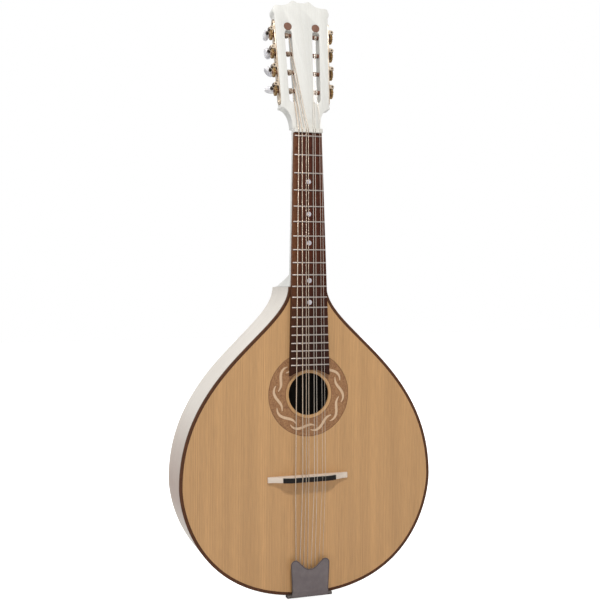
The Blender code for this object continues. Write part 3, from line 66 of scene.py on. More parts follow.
# Nut, saddle and string spacing
NUT_THICKNESS = 0.0050
NUT_HEIGHT = 0.0088
NUT_ROUND = 0.00012
NUT_DROP = 0.0006
PAIRS_AT_NUT = (0.0042, 0.0028, 0.0028, 0.0028)
COURSE_AT_NUT = 0.0088
MIDDLE_AT_NUT = 0.0026
PAIRS_AT_BRIDGE = (0.0090, 0.0034, 0.0036, 0.0038)
COURSE_AT_BRIDGE = 0.0106
MIDDLE_AT_BRIDGE = -0.0016
COURSE_NAMES = ("c", "g", "d", "a")
COURSE_DIAMETERS = (0.00117, 0.00086, 0.00058, 0.00038)
WOUND_FROM = 0.0007

# Body
BODY_DEPTH = 0.0720
TAIL_Z = -0.5576
WIDEST_Z = -0.4200
BODY_HALF_WIDTH = 0.1601
JOINT_HALF_WIDTH = 0.0245
TAIL_HANDLE = 0.1380
LOWER_HANDLE = 0.0300
UPPER_HANDLE = 0.1370
SHOULDER_HANDLE = 0.0530
LOWER_STEPS = 44
UPPER_STEPS = 52
TOP_THICKNESS = 0.0028
BACK_THICKNESS = 0.0030
RIB_THICKNESS = 0.0024
BINDING_WIDTH = 0.0038
BINDING_DEPTH = 0.0032
BINDING_ROUND = 0.0005
BACK_ROUND = 0.0008
LINING_WIDTH = 0.0050
LINING_DEPTH = 0.0100
LINING_ROUND = 0.0015
BAR_WIDTH = 0.0080
BAR_HEIGHT = 0.0130
BAR_TIP_HEIGHT = 0.0040
BAR_TAPER = 0.0300
BAR_ROUND = 0.0012
TOP_BARS_Z = (-0.2620, -0.3680, -0.4560)
BACK_BARS_Z = (-0.2800, -0.3800, -0.4780)
NECK_BLOCK_LENGTH = 0.0280
TAIL_BLOCK_REACH = 0.0310
SIDES = (("bass", -1), ("treble", 1))

# Soundhole and rosette
HOLE_Z = -0.3157
HOLE_RADIUS = 0.0256
HOLE_ROUND = 0.0004
RING_INNER = 0.0294
RING_OUTER = 0.0512
RING_THICKNESS = 0.0010
RING_ROUND = 0.0002
INLAY_GAP = 0.0002
STROKE_COUNT = 10
STROKE_MEAN_RADIUS = 0.0410
STROKE_SWING = 0.0038
STROKE_WAVES = 0.82
STROKE_OUTER_TURN = 0.18
STROKE_HALF_SPAN = 22.5
STROKE_HALF_WIDTH = 0.0016
STROKE_FIRST_ANGLE = 7.0
STROKE_RISE = 0.00015
STROKE_DEPTH = 0.0002
STROKE_STAGGER = 0.00001
STROKE_STEPS = 28
STROKE_TIP_THINNING = 0.75

# Neck and headstock
NECK_DEPTH_NUT = 0.0150
NECK_DEPTH_HEEL = 0.0190
HEEL_LENGTH = 0.0150
HEEL_POWER = 0.80
NECK_BLEND_Z = -0.0100
NUT_END_FULLNESS = 0.55
NECK_FULLNESS = 0.70
HEEL_FULLNESS = 0.32
NECK_RING_STEPS = 28
HEAD_BREAK_Z = 0.0096
HEAD_TILT = 7.0
HEAD_THICKNESS = 0.0150
HEAD_ROUND = 0.0005
HEAD_LENGTH = 0.1613
HEAD_CORNER_U = 0.0290
HEAD_CORNER_HALF = 0.0318
EDGE_START_U = 0.0312
EDGE_END_U = 0.1430
EDGE_HALF_START = 0.0309
EDGE_HALF_END = 0.0352
HEAD_FLARE_START_U = 0.0035
HEAD_CORNER_LIP = 0.0020
HEAD_EAR_HALF = 0.0368
HEAD_EAR_U = 0.1500
HEAD_EAR_ROUND = 0.0030
HEAD_SHOULDER_U = 0.1585
HEAD_CREST_HALF = 0.0170
HEAD_CREST_SWEEP = 0.0070
HEAD_HORN_HALF = 0.0112
HEAD_HORN_RISE = 0.0048
HEAD_NOTCH_RISE = 0.0024
SLOT_WIDTH = 0.0095
SLOT_START_U = 0.0336
SLOT_END_U = 0.1275
SLOT_CENTRE_START = 0.0157
SLOT_CENTRE_END = 0.0183
DISC_RADIUS = 0.0052
DISC_U = 0.1317
DISC_DEPTH = 0.0012

# Machine heads
ROLLER_COUNT = 4
ROLLER_PITCH = 0.0240
FIRST_ROLLER_U = 0.0486
ROLLER_V = 0.0052
ROLLER_RADIUS = 0.0026
SPIGOT_RADIUS = 0.0014
BLIND_DEPTH = 0.0045
PLATE_THICKNESS = 0.0012
PLATE_NEAR_V = 0.0004
PLATE_FAR_V = 0.0122
PLATE_LOW = -0.0170
PLATE_HIGH = 0.0925
GEAR_TEETH = 14
GEAR_MODULE = 0.000786
GEAR_THICKNESS = 0.0026
GEAR_TIP_RADIUS = 0.00615
GEAR_ROOT_RADIUS = 0.0045
TOOTH_ROOT_SHARE = 0.31
TOOTH_TIP_SHARE = 0.13
GEAR_MIDDLE = 0.0050
WORM_OFFSET = 0.0080
WORM_CREST_RADIUS = 0.0031
WORM_SHAFT_RADIUS = 0.0015
THREAD_TURNS = 2
THREAD_ROOT_HALF = 0.00058
THREAD_CREST_HALF = 0.00030
THREAD_RUN_OUT = 0.00035
BEARING_THICKNESS = 0.0016
BEARING_HALF_WIDTH = 0.0026
BEARING_RIM = 0.0009
FERRULE_RADIUS = 0.0024
FERRULE_LENGTH = 0.0024
BUTTON_START = 0.0195
BUTTON_LENGTH = 0.0120
BUTTON_HALF_WIDTH = 0.0075
BUTTON_THICKNESS = 0.0064
BUTTON_SOCKET = 0.0070
BUTTON_ANGLES = {
    "bass": (8.0, 50.0, 84.0, 100.0),
    "treble": (76.0, 102.0, 88.0, 95.0),
}
SCREW_RADIUS = 0.0021
SCREW_HEIGHT = 0.0008
SCREW_SLOT_HALF = 0.0003
SCREW_INSET = 0.0035
PLATE_CORNER = 0.0035
PLATE_ROUND = 0.0003
BEARING_ROUND = 0.0002
WINDING_TURNS = 2.25
WINDING_STEPS = 24
WINDING_SPACE = 0.00055
RUN_ON_OFFSETS = (0.0008, 0.0014, 0.0010, 0.0003)

# Bridge
BRIDGE_LENGTH = 0.1015
BRIDGE_MIDDLE_X = -0.0025
BRIDGE_CREST_HALF = 0.0205
BRIDGE_HEIGHT = 0.0122
BRIDGE_TIP_HEIGHT = 0.0030
SADDLE_Z = -0.4170
SADDLE_HALF_LENGTH = 0.0335
SADDLE_THICKNESS = 0.0055
SADDLE_DEPTH = 0.0040
NOTCH_CLEARANCE = 0.0004
SADDLE_HEIGHT = 0.0138
BRIDGE_WALL = 0.0012
BRIDGE_ROUND = 0.0007
SADDLE_ROUND = 0.0002

# Tailpiece
SHEET = 0.0010
PIN_RADIUS = 0.0008
BARREL_RADIUS = 0.0020
PIN_Y = -0.0036
PIN_Z = -0.5569
TAILPIECE_MIDDLE_X = -0.0022
COVER_HALF_WIDTH = 0.0228
HORN_Z = -0.5134
HORN_RADIUS = 0.0055
NOTCH_Z = -0.5250
COVER_RISE = 0.0072
COVER_BEND_Z = -0.5500
COVER_RIM = 0.0007
COVER_CROWN = 0.0006
COVER_ROUND = 0.00025
COVER_SIDE_TOP_Z = -0.5512
HORN_SPREAD = 0.0016
NOTCH_RADIUS = 0.0110
HOOK_Z = -0.5300
HOOK_SPACING = 0.0049
EYE_HALF_WIDTH = 0.0017
EYE_LENGTH = 0.0050
STRING_SIDES = 12

# Shared shapes


def fret_z(number):
    """Height of a fret, by equal temperament."""
    return -SCALE_LENGTH * (1 - 2 ** (-number / 12))


JOINT_Z = fret_z(NECK_JOINT_FRET)
LAST_FRET_Z = fret_z(FRET_COUNT)
BODY_TOP_Z = JOINT_Z - GAP
FRET_TOP = BOARD_TOP + FRET_HEIGHT
WORM_PITCH = pi * GEAR_MODULE
THREAD_HALF_LENGTH = THREAD_TURNS * WORM_PITCH / 2 + THREAD_RUN_OUT
EDGE_SLOPE = atan2(EDGE_HALF_END - EDGE_HALF_START, EDGE_END_U - EDGE_START_U)

# Control points of the body's outline
LOWER_BOUT = ((0.0, TAIL_Z), (TAIL_HANDLE, TAIL_Z), (BODY_HALF_WIDTH, WIDEST_Z - LOWER_HANDLE),
              (BODY_HALF_WIDTH, WIDEST_Z))
UPPER_BOUT = ((BODY_HALF_WIDTH, WIDEST_Z), (BODY_HALF_WIDTH, WIDEST_Z + UPPER_HANDLE),
              (JOINT_HALF_WIDTH, BODY_TOP_Z - SHOULDER_HANDLE), (JOINT_HALF_WIDTH, BODY_TOP_Z))


def board_half(z):
    """Half width of the fingerboard at a height."""
    return BOARD_HALF_NUT + (BOARD_HALF_LAST - BOARD_HALF_NUT) * z / LAST_FRET_Z


def shares(steps):
    """Even shares from 0 to 1, both ends included."""
    return [step / steps for step in range(steps + 1)]


def body_half(inset=0.0):
    """Treble half of the body's outline from the tail to the neck, moved inwards by inset."""
    samples = [(LOWER_BOUT, share) for share in shares(LOWER_STEPS)[:-1]]
    samples += [(UPPER_BOUT, share) for share in shares(UPPER_STEPS)]
    points = []
    for bout, t in samples:
        s = 1 - t
        x, z = [s ** 3 * a + 3 * s * s * t * b + 3 * s * t * t * c + t ** 3 * d
                for a, b, c, d in zip(*bout)]
        dx, dz = [3 * s * s * (b - a) + 6 * s * t * (c - b) + 3 * t * t * (d - c)
                  for a, b, c, d in zip(*bout)]
        length = hypot(dx, dz)
        points.append((x - inset * dz / length, z + inset * dx / length))
    return points


def mirrored(points):
    """A closed outline from its +X half."""
    return points + [(-x, other) for x, other in reversed(points) if abs(x) > 1e-7]


def width_at(z, inset):
    """Half width of the body at a height."""
    points = body_half(inset)
    for (x0, z0), (x1, z1) in zip(points, points[1:]):
        if z0 <= z <= z1:
            return x0 + (x1 - x0) * (z - z0) / (z1 - z0)
    return points[-1][0]


def arc(centre, radius, start, end, steps):
    """Points on an arc, angles in degrees, both ends included."""
    turns = [radians(start + (end - start) * share) for share in shares(steps)]
    return [(centre[0] + radius * cos(turn), centre[1] + radius * sin(turn)) for turn in turns]


def circle(centre, radius, steps):
    return arc(centre, radius, 0.0, 360.0 * (steps - 1) / steps, steps - 1)


# Mesh tools


def outward(bm):
    """Turns all faces outwards."""
    bmesh.ops.recalc_face_normals(bm, faces=bm.faces)
    return bm


def move(bm, matrix):
    bmesh.ops.transform(bm, matrix=matrix, verts=bm.verts)
    return bm


def handed(bm, sign):
    """Makes a treble piece a bass one where sign is -1."""
    return outward(move(bm, Matrix.Diagonal((-1.0, 1.0, 1.0, 1.0)))) if sign < 0 else bm


def shifted(x=0.0, y=0.0, z=0.0):
    return Matrix.Translation((x, y, z))


def pull(bm, faces, vector):
    """Extrudes faces by a vector."""
    made = bmesh.ops.extrude_face_region(bm, geom=faces)["geom"]
    moved = [item for item in made if isinstance(item, bmesh.types.BMVert)]
    bmesh.ops.translate(bm, verts=moved, vec=vector)
    return outward(bm)


def drawn(points, vector):
    """A straight solid: a face through points, drawn out by a vector."""
    bm = bmesh.new()
    return pull(bm, [bm.faces.new([bm.verts.new(point) for point in points])], vector)


def bar(section, low, high):
    """A straight bar along X: section is a list of (Y, Z) points."""
    return drawn([(low, y, z) for y, z in section], (high - low, 0.0, 0.0))


def rise(section, low, high):
    """A straight piece along Z: section is a list of (X, Y) points."""
    return drawn([(x, y, low) for x, y in section], (0.0, 0.0, high - low))


def block(low, high):
    """A rectangular block between two corners."""
    (x0, y0, z0), (x1, y1, z1) = low, high
    return bar([(y0, z0), (y1, z0), (y1, z1), (y0, z1)], x0, x1)


def plate(outlines, front, back):
    """A flat plate between two depths; outlines after the first one are holes in it."""
    bm = bmesh.new()
    edges = []
    for points in outlines:
        verts = [bm.verts.new((x, front, z)) for x, z in points]
        edges += [bm.edges.new(pair) for pair in zip(verts, verts[1:] + verts[:1])]
    bmesh.ops.triangle_fill(bm, use_beauty=True, use_dissolve=False, edges=edges)
    bmesh.ops.dissolve_limit(bm, angle_limit=radians(0.2), verts=bm.verts[:], edges=bm.edges[:])
    return pull(bm, bm.faces[:], (0.0, back - front, 0.0))


def round_edges(bm, edges, width, segments):
    bmesh.ops.bevel(bm, geom=edges, offset=width, affect="EDGES", segments=segments, profile=0.5,
                    material=-1, clamp_overlap=True)
    return bm


def soften(bm, width, segments=2, limit=40.0):
    """Rounds the edges that are sharper than the limit."""
    sharp = [edge for edge in bm.edges
             if len(edge.link_faces) == 2 and edge.calc_face_angle(0.0) > radians(limit)]
    return round_edges(bm, sharp, width, segments)


def spun(points, axis, steps, closed=False):
    """Spins a line of points round an axis through the origin."""
    bm = bmesh.new()
    verts = [bm.verts.new(point) for point in points]
    ends = verts[1:] + verts[:1] if closed else verts[1:]
    edges = [bm.edges.new(pair) for pair in zip(verts, ends)]
    bmesh.ops.spin(bm, geom=verts + edges, cent=(0, 0, 0), axis=axis, dvec=(0, 0, 0),
                   angle=2 * pi, steps=steps, use_merge=True, use_duplicate=False)
    bmesh.ops.remove_doubles(bm, verts=bm.verts, dist=1e-6)
    return outward(bm)


def turned(profile, axis, steps=32):
    """Turns a profile of (place along X or Y, radius) into a closed solid."""
    points = [(profile[0][0], 0.0), *profile, (profile[-1][0], 0.0)]
    if axis == "X":
        return spun([(along, 0.0, radius) for along, radius in points], (1, 0, 0), steps)
    return spun([(radius, along, 0.0) for along, radius in points], (0, 1, 0), steps)


def ring(section, steps=96):
    """Turns a closed section of (radius, Y) round the soundhole's axis."""
    points = [(radius, y, 0.0) for radius, y in section]
    return move(spun(points, (0, 1, 0), steps, True), shifted(z=HOLE_Z))


def through(rings):
    """A solid drawn out from ring to ring, all with the same number of points."""
    bm = bmesh.new()
    face = bm.faces.new([bm.verts.new(point) for point in rings[0]])
    for points in rings[1:]:
        face = bmesh.ops.extrude_discrete_faces(bm, faces=[face])["faces"][0]
        for vertex, point in zip(face.verts, points):
            vertex.co = point
    bmesh.ops.holes_fill(bm, edges=bm.edges, sides=0)
    return outward(bm)


def mesh_of(bm, name):
    mesh = bpy.data.meshes.new(name)
    bm.to_mesh(mesh)
    bm.free()
    return mesh


def new_object(name, data):
    made = bpy.data.objects.new(name, data)
    bpy.context.scene.collection.objects.link(made)
    return made


def put_in(target, part, matrix=None):
    """Adds one mesh to another, moved by a matrix."""
    mesh = mesh_of(part, "part")
    if matrix:
        mesh.transform(matrix)
    target.from_mesh(mesh)
    bpy.data.meshes.remove(mesh)


def carve(bm, tool, operation="DIFFERENCE"):
    """Cuts one mesh by another, or keeps what they share, and gives the result back."""
    pair = [new_object("carving", mesh_of(part, "carving")) for part in (bm, tool)]
    modifier = pair[0].modifiers.new("carve", "BOOLEAN")
    modifier.operation = operation
    modifier.solver = "EXACT"
    modifier.object = pair[1]
    graph = bpy.context.evaluated_depsgraph_get()
    mesh = bpy.data.meshes.new_from_object(pair[0].evaluated_get(graph))
    result = bmesh.new()
    result.from_mesh(mesh)
    for item in pair:
        bpy.data.objects.remove(item, do_unlink=True)
    bpy.data.meshes.remove(mesh)
    return result


def show(name, bm, finish, node, body="instrument", limit=32.0):
    """Makes the piece: its mesh, its finish, the node it stands for and the body it rides on."""
    piece = new_object(name, mesh_of(bm, name))
    piece.data.shade_smooth()
    piece.data.set_sharp_from_angle(angle=radians(limit))
    piece.data.materials.append(finish)
    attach(piece, body)
    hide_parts(node)
    return piece


# Shader tools


class Nodes:
    """A node tree, with a short call for each kind of node that the finishes are made of."""

    def __init__(self, tree):
        self.tree = tree

    def feed(self, socket, value):
        """Links a socket to another one, or gives it a plain value or colour."""
        if isinstance(value, bpy.types.NodeSocket):
            self.tree.links.new(value, socket)
        elif socket.type == "RGBA":
            socket.default_value = (*value, 1.0)
        else:
            socket.default_value = value

    def put(self, kind, inputs=None, **settings):
        """Adds a node; its inputs go by socket name or number."""
        made = self.tree.nodes.new("ShaderNode" + kind)
        for key, value in settings.items():
            setattr(made, key, value)
        for key, value in (inputs or {}).items():
            self.feed(made.inputs[key], value)
        return made

    def math(self, operation, first, second=0.0, clamp=False):
        values = {0: first, 1: second}
        return self.put("Math", values, operation=operation, use_clamp=clamp).outputs[0]

    def add(self, first, *others):
        for other in others:
            first = self.math("ADD", first, other)
        return first

    def times(self, first, second):
        return self.math("MULTIPLY", first, second)

    def minus(self, first, second):
        return self.math("SUBTRACT", first, second)

    def spread(self, value, low, high, new_low=0.0, new_high=1.0):
        """Maps one range onto another."""
        made = self.put("MapRange", {"Value": value, "From Min": low, "From Max": high,
                                     "To Min": new_low, "To Max": new_high})
        return made.outputs["Result"]

    def blend(self, mask, first, second, mode="MIX"):
        """Mixes two colours by a mask."""
        # A Mix node's sockets share their names, so its colour sockets are picked by number
        values = {0: mask, 6: first, 7: second}
        return self.put("Mix", values, data_type="RGBA", blend_type=mode).outputs[2]

    def shade(self, colour, tone):
        """A colour times a tone."""
        return self.blend(1.0, colour, tone, "MULTIPLY")

    def ramp(self, source, stops):
        """A colour ramp on a value: stops are (place, colour)."""
        made = self.put("ValToRGB", {"Fac": source})
        elements = made.color_ramp.elements
        while len(elements) < len(stops):
            elements.new(0.5)
        for element, (place, colour) in zip(elements, stops):
            element.position = place
            element.color = (*colour, 1.0)
        return made.outputs["Color"]

    def vector(self, operation, first, second, key=1):
        return self.put("VectorMath", {0: first, key: second}, operation=operation).outputs[0]

    def cloud(self, vector, scale, detail=3.0, roughness=0.55, distortion=0.0):
        """A noise value; three scales stretch it."""
        if isinstance(scale, tuple):
            vector, scale = self.vector("MULTIPLY", vector, scale), 1.0
        made = self.put("TexNoise", {"Vector": vector, "Scale": scale, "Detail": detail,
                                     "Roughness": roughness, "Distortion": distortion})
        return made.outputs["Fac"]

    def split(self, vector):
        return self.put("SeparateXYZ", {0: vector}).outputs


class Finish(Nodes):
    """A material in the making; values are those of its shader that are the same all over."""

    def __init__(self, name, marks=None, turn=(0.0, 0.0, 0.0), shift=(0.0, 0.0, 0.0), **values):
        self.material = bpy.data.materials.new(name)
        self.material.use_nodes = True
        super().__init__(self.material.node_tree)
        self.shader = self.tree.nodes["Principled BSDF"].inputs
        for label, value in values.items():
            self.shader[label.replace("_", " ")].default_value = value
        # Object coordinates, turned so that a pattern's Z lies along the piece
        source = self.put("TexCoord").outputs["Object"]
        angles = [radians(angle) for angle in turn]
        laid = self.put("Mapping", {"Vector": source, "Rotation": angles, "Location": shift})
        self.place = laid.outputs["Vector"]
        if marks:
            self.marks = self.group(HANDLING, Size=marks)

    def group(self, tree, **values):
        return self.put("Group", {"Vector": self.place, **values}, node_tree=tree).outputs

    def weigh(self, base, *pairs):
        """Adds up values times their weights, and a base value; a name is a mark of handling."""
        parts = [self.times(self.marks[value] if isinstance(value, str) else value, weight)
                 for value, weight in pairs]
        return self.add(*parts, base)

    def end(self, colour, roughness, height, relief):
        """Links colour, roughness and a bump as deep as relief; gives the material back."""
        self.feed(self.shader["Base Color"], colour)
        self.feed(self.shader["Roughness"], roughness)
        bump = self.put("Bump", {"Strength": 1.0, "Distance": relief, "Height": height})
        self.feed(self.shader["Normal"], bump.outputs["Normal"])
        return self.material


def new_group(name, values, outputs):
    """A shader node group with a vector and named values in and named values out."""
    tree = bpy.data.node_groups.new(name, "ShaderNodeTree")
    tree.interface.new_socket(name="Vector", in_out="INPUT", socket_type="NodeSocketVector")
    for label, value in values.items():
        socket = tree.interface.new_socket(name=label, in_out="INPUT",
                                           socket_type="NodeSocketFloat")
        socket.default_value = value
    for label in outputs:
        tree.interface.new_socket(name=label, in_out="OUTPUT", socket_type="NodeSocketFloat")
    entry = tree.nodes.new("NodeGroupInput").outputs
    leave = tree.nodes.new("NodeGroupOutput").inputs
    return Nodes(tree), entry, leave


def grain_group():
    """Wood grain along Z: year lines across X, short fibres and broad colour drift."""
    nodes, entry, leave = new_group("wood_grain", {"Lines": 200.0, "Wander": 0.002, "Seed": 0.0},
                                    ("Year lines", "Fibres", "Drift"))
    place = nodes.vector("ADD", entry["Vector"], entry["Seed"])
    wander = entry["Wander"]
    across, depth = nodes.split(place)[:2]
    bend = nodes.times(nodes.cloud(place, (28.0, 28.0, 4.0), 2.0), wander)
    uneven = nodes.times(nodes.cloud(place, (70.0, 20.0, 0.7), 1.0), nodes.times(wander, 3.0))
    across = nodes.add(across, nodes.times(depth, 0.35), bend, uneven)
    saw = nodes.math("FRACT", nodes.times(across, entry["Lines"]))
    nodes.feed(leave["Year lines"], nodes.math("POWER", saw, 2.6))
    nodes.feed(leave["Fibres"], nodes.cloud(place, (1400.0, 1400.0, 38.0), 3.0, 0.6))
    nodes.feed(leave["Drift"], nodes.cloud(place, (70.0, 16.0, 2.2), 4.0))
    return nodes.tree


def handling_group():
    """Marks of handling: broad smudges, fine scuffs and small specks."""
    nodes, entry, leave = new_group("handling", {"Size": 1.0}, ("Smudge", "Scuff", "Speck"))
    place = nodes.vector("SCALE", entry["Vector"], entry["Size"], "Scale")
    for label, noise, low, high in (
            ("Smudge", nodes.cloud(place, 26.0, 4.0, 0.6, 0.6), 0.35, 0.72),
            ("Scuff", nodes.cloud(place, (260.0, 900.0, 90.0), 2.0, 0.7, 0.4), 0.58, 0.74),
            ("Speck", nodes.cloud(place, 1600.0, 1.0, 0.5), 0.62, 0.78)):
        nodes.feed(leave[label], nodes.spread(noise, low, high))
    return nodes.tree


GRAIN = grain_group()
HANDLING = handling_group()


def wood(name, light, dark, lines, wander, contrast, roughness, turn=(0.0, 0.0, 0.0), seed=0.0,
         shift=0.09, coat=0.0, shade_band=None):
    """A planed and finished wood: year lines, fibres, drift of colour and handling marks.

    The shade band gives four heights and a colour: between the middle two the colour is darkened to
    it as painted shade, fading in and out across the outer two.
    """
    made = Finish(name, 1.0, turn, Coat_Weight=coat, Coat_Roughness=0.25)
    grain = made.group(GRAIN, Lines=lines, Wander=wander, Seed=seed)
    year_lines = grain["Year lines"]
    colour = made.blend(made.times(year_lines, contrast), light, dark)
    # Painted shade: between the band's middle heights the colour darkens to the shade colour
    if shade_band:
        begin, full, fade, end, shade_colour = shade_band
        height = made.split(made.place)["Z"]
        comes = made.spread(height, begin, full)
        goes = made.spread(height, fade, end, 1.0, 0.0)
        colour = made.blend(made.times(comes, goes), colour, shade_colour)
    fibre = made.spread(grain["Fibres"], 0.3, 0.7, 1.0 - shift, 1.0 + shift * 0.6)
    drift = made.spread(grain["Drift"], 0.25, 0.75, 1.0 - shift, 1.0 + shift * 0.7)
    tone = made.minus(made.times(fibre, drift), made.times(made.marks["Speck"], 0.05))
    rough = made.weigh(roughness, (year_lines, 0.08), ("Smudge", 0.10), ("Scuff", 0.06))
    height = made.add(made.times(year_lines, 0.5), made.times(grain["Fibres"], 0.5))
    return made.end(made.shade(colour, tone), rough, height, 0.00003)


def open_pored_wood(name, light, dark, streak, body_end_dark, pore):
    """Rosewood: dark veins, a bright streak at its bass edge, darker towards the body, pores."""
    made = Finish(name, 1.0, Specular_IOR_Level=0.15)
    grain = made.group(GRAIN, Lines=130.0, Wander=0.006, Seed=0.7)
    colour = made.blend(made.times(grain["Year lines"], 0.9), light, dark)
    colour = made.blend(made.spread(grain["Drift"], 0.3, 0.7, 0.0, 0.6), colour, dark)
    axes = made.split(made.place)
    colour = made.blend(made.spread(axes["X"], -0.0185, -0.0095, 0.75, 0.0), colour, streak)
    # Darker towards the body end of the board
    colour = made.blend(made.spread(axes["Z"], -0.140, -0.250, 0.0, 0.85), colour, body_end_dark)
    pores = made.spread(made.cloud(made.place, (2600.0, 2600.0, 160.0), 1.0), 0.58, 0.66)
    colour = made.blend(made.times(pores, 0.7), colour, pore)
    rough = made.weigh(0.52, (pores, 0.25), ("Smudge", 0.12))
    return made.end(colour, rough, made.minus(grain["Fibres"], pores), 0.00005)


def rosette_wood(name, brown, dark, gold):
    """The ring: burred stained wood with two thin dark rims that follow its radius."""
    made = Finish(name, 1.5, shift=(0.0, 0.0, -HOLE_Z))
    grain = made.group(GRAIN, Lines=420.0, Wander=0.003, Seed=0.3)
    flat = made.vector("MULTIPLY", made.place, (1.0, 0.0, 1.0))
    radius = made.put("VectorMath", {0: flat}, operation="LENGTH").outputs["Value"]
    half = (RING_OUTER - RING_INNER) / 2
    away = made.math("ABSOLUTE", made.minus(radius, (RING_INNER + RING_OUTER) / 2))
    rim = made.spread(away, half - 0.0009, half - 0.0003)
    burl = made.cloud(made.place, 330.0, 5.0, 0.62, 1.4)
    colour = made.blend(made.spread(burl, 0.36, 0.52, 1.0, 0.0), brown, dark)
    colour = made.blend(made.spread(burl, 0.52, 0.68, 0.0, 0.8), colour, gold)
    colour = made.shade(colour, made.spread(grain["Fibres"], 0.3, 0.7, 0.88, 1.06))
    colour = made.blend(made.times(rim, 0.9), colour, dark)
    rough = made.weigh(0.42, ("Smudge", 0.12))
    return made.end(colour, rough, grain["Fibres"], 0.00002)


def smooth_solid(name, light, dark, roughness, size, shine=0.5):
    """Bone, ebony and plastic: close textured, with faint mottling and polish marks."""
    made = Finish(name, 3.0, Specular_IOR_Level=shine)
    mottle = made.cloud(made.place, (size, size, size * 0.25), 4.0, 0.6)
    colour = made.blend(made.spread(mottle, 0.3, 0.7), light, dark)
    colour = made.blend(made.times(made.marks["Speck"], 0.25), colour, dark)
    rough = made.weigh(roughness, ("Smudge", 0.14), ("Scuff", 0.10))
    return made.end(colour, rough, mottle, 0.00002)


def pearl(name, light, dark, size, tint):
    """Celluloid pearl: soft clouds in folds, with a clear gloss."""
    made = Finish(name, 3.0, Coat_Weight=0.5, Coat_Roughness=0.08, Subsurface_Weight=0.15,
                  Subsurface_Radius=(0.002, 0.0018, 0.0016))
    folds = made.cloud(made.place, (size, size * 1.4, size * 0.7), 3.0, 0.5, 1.8)
    cells = made.put("TexVoronoi", {"Vector": made.place, "Scale": size * 1.3},
                     feature="SMOOTH_F1")
    cell = made.spread(cells.outputs["Distance"], 0.1, 0.9, 1.05, 0.86)
    colour = made.shade(made.ramp(folds, [(0.34, dark), (0.5, light), (0.66, tint)]), cell)
    return made.end(colour, made.weigh(0.16, ("Smudge", 0.14)), folds, 0.00002)


def metal(name, colour, tarnish, roughness, brush=(90.0, 1500.0, 90.0), metallic=1.0, stain=0.5):
    """A worked metal: drawn or brushed lines, tarnish in patches and fine scratches."""
    made = Finish(name, 3.0, Metallic=metallic)
    lines = made.cloud(made.place, brush, 3.0, 0.7)
    mixed = made.blend(made.times(made.marks["Smudge"], stain), colour, tarnish)
    mixed = made.shade(mixed, made.spread(lines, 0.3, 0.7, 0.86, 1.08))
    rough = made.weigh(roughness, ("Smudge", 0.16), ("Scuff", 0.12), (lines, 0.08))
    return made.end(mixed, rough, made.add(lines, made.marks["Scuff"]), 0.000012)


def wound_wire(name, colour, tarnish, wrap):
    """A string wound with fine wire: ridges follow the distance along it."""
    made = Finish(name, 4.0, Metallic=1.0)
    along = made.put("Attribute", attribute_name="along", attribute_type="GEOMETRY")
    turns = made.times(along.outputs["Fac"], 2 * pi / wrap)
    ridge = made.spread(made.math("SINE", turns), -1.0, 1.0)
    # Painted shade in the grooves between the windings, together with handling smudges, darkens the
    # colour towards the tarnish colour
    groove = made.times(made.minus(1.0, ridge), 0.45)
    groove_shade_and_smudge = made.math("ADD", groove, made.times(made.marks["Smudge"], 0.30), True)
    return made.end(made.blend(groove_shade_and_smudge, colour, tarnish), made.weigh(0.26, (groove_shade_and_smudge, 0.25)), ridge,
                    0.00006)


# Finishes: light and dark colour, then each maker's own values

BARE_WASH = ((0.80, 0.75, 0.68), (0.69, 0.61, 0.52))
SIDEWAYS = (0.0, 90.0, 0.0)
SPRUCE = wood("spruce_top", (0.610, 0.355, 0.155), (0.410, 0.195, 0.070), 560.0, 0.0022, 0.80, 0.40,
              seed=0.11, shift=0.13, coat=0.10)
BODY_WHITE = wood("whitewashed_side", *BARE_WASH, 260.0, 0.004, 0.35, 0.42, seed=0.43, shift=0.05)
# The ribs darken to a warm brown at the body's widest part: painted shade where the side turns away
# from the light
RIB_WHITE = wood("whitewashed_rib", *BARE_WASH, 260.0, 0.004, 0.35, 0.42, (0.0, 0.0, 90.0), 0.43,
                 0.05, shade_band=(-0.325, -0.420, -0.440, -0.485, (0.55, 0.43, 0.365)))
NECK_WHITE = wood("whitewashed_neck", (0.815, 0.81, 0.77), (0.76, 0.745, 0.695), 240.0, 0.006, 0.40,
                  0.44, seed=0.23, shift=0.035)
BRIDGE_WHITE = wood("whitewashed_bridge", (0.74, 0.63, 0.53), (0.58, 0.47, 0.38), 500.0, 0.002, 0.3,
                    0.40, SIDEWAYS, 0.6, 0.04)
INNER_SPRUCE = wood("inner_spruce", (0.58, 0.40, 0.22), (0.46, 0.28, 0.14), 420.0, 0.002, 0.5, 0.62,
                    SIDEWAYS, 0.9)
# Near-black finish for the back's inner faces: painted shade of the closed body's inside
INSIDE_PAINTED_SHADE = wood("stained_inside", (0.016, 0.012, 0.009), (0.009, 0.007, 0.005), 260.0, 0.004,
                   0.5, 0.7, seed=0.5)
ROSEWOOD = open_pored_wood("rosewood", (0.112, 0.028, 0.012), (0.032, 0.009, 0.005),
                           (0.170, 0.064, 0.024), (0.026, 0.007, 0.004), (0.012, 0.005, 0.004))
ROSETTE_BROWN = rosette_wood("rosette_brown", (0.330, 0.158, 0.064), (0.225, 0.098, 0.038),
                             (0.420, 0.225, 0.095))
BINDING_BROWN = smooth_solid("dark_binding", (0.112, 0.042, 0.017), (0.060, 0.023, 0.010), 0.45,
                             300.0, 0.2)
DISC_BROWN = smooth_solid("disc_brown", (0.235, 0.105, 0.060), (0.155, 0.065, 0.038), 0.50, 400.0)
STROKE_CREAM = smooth_solid("stroke_cream", (0.73, 0.52, 0.34), (0.62, 0.42, 0.26), 0.42, 500.0)
BONE = smooth_solid("bone", (0.84, 0.82, 0.77), (0.74, 0.71, 0.64), 0.30, 500.0)
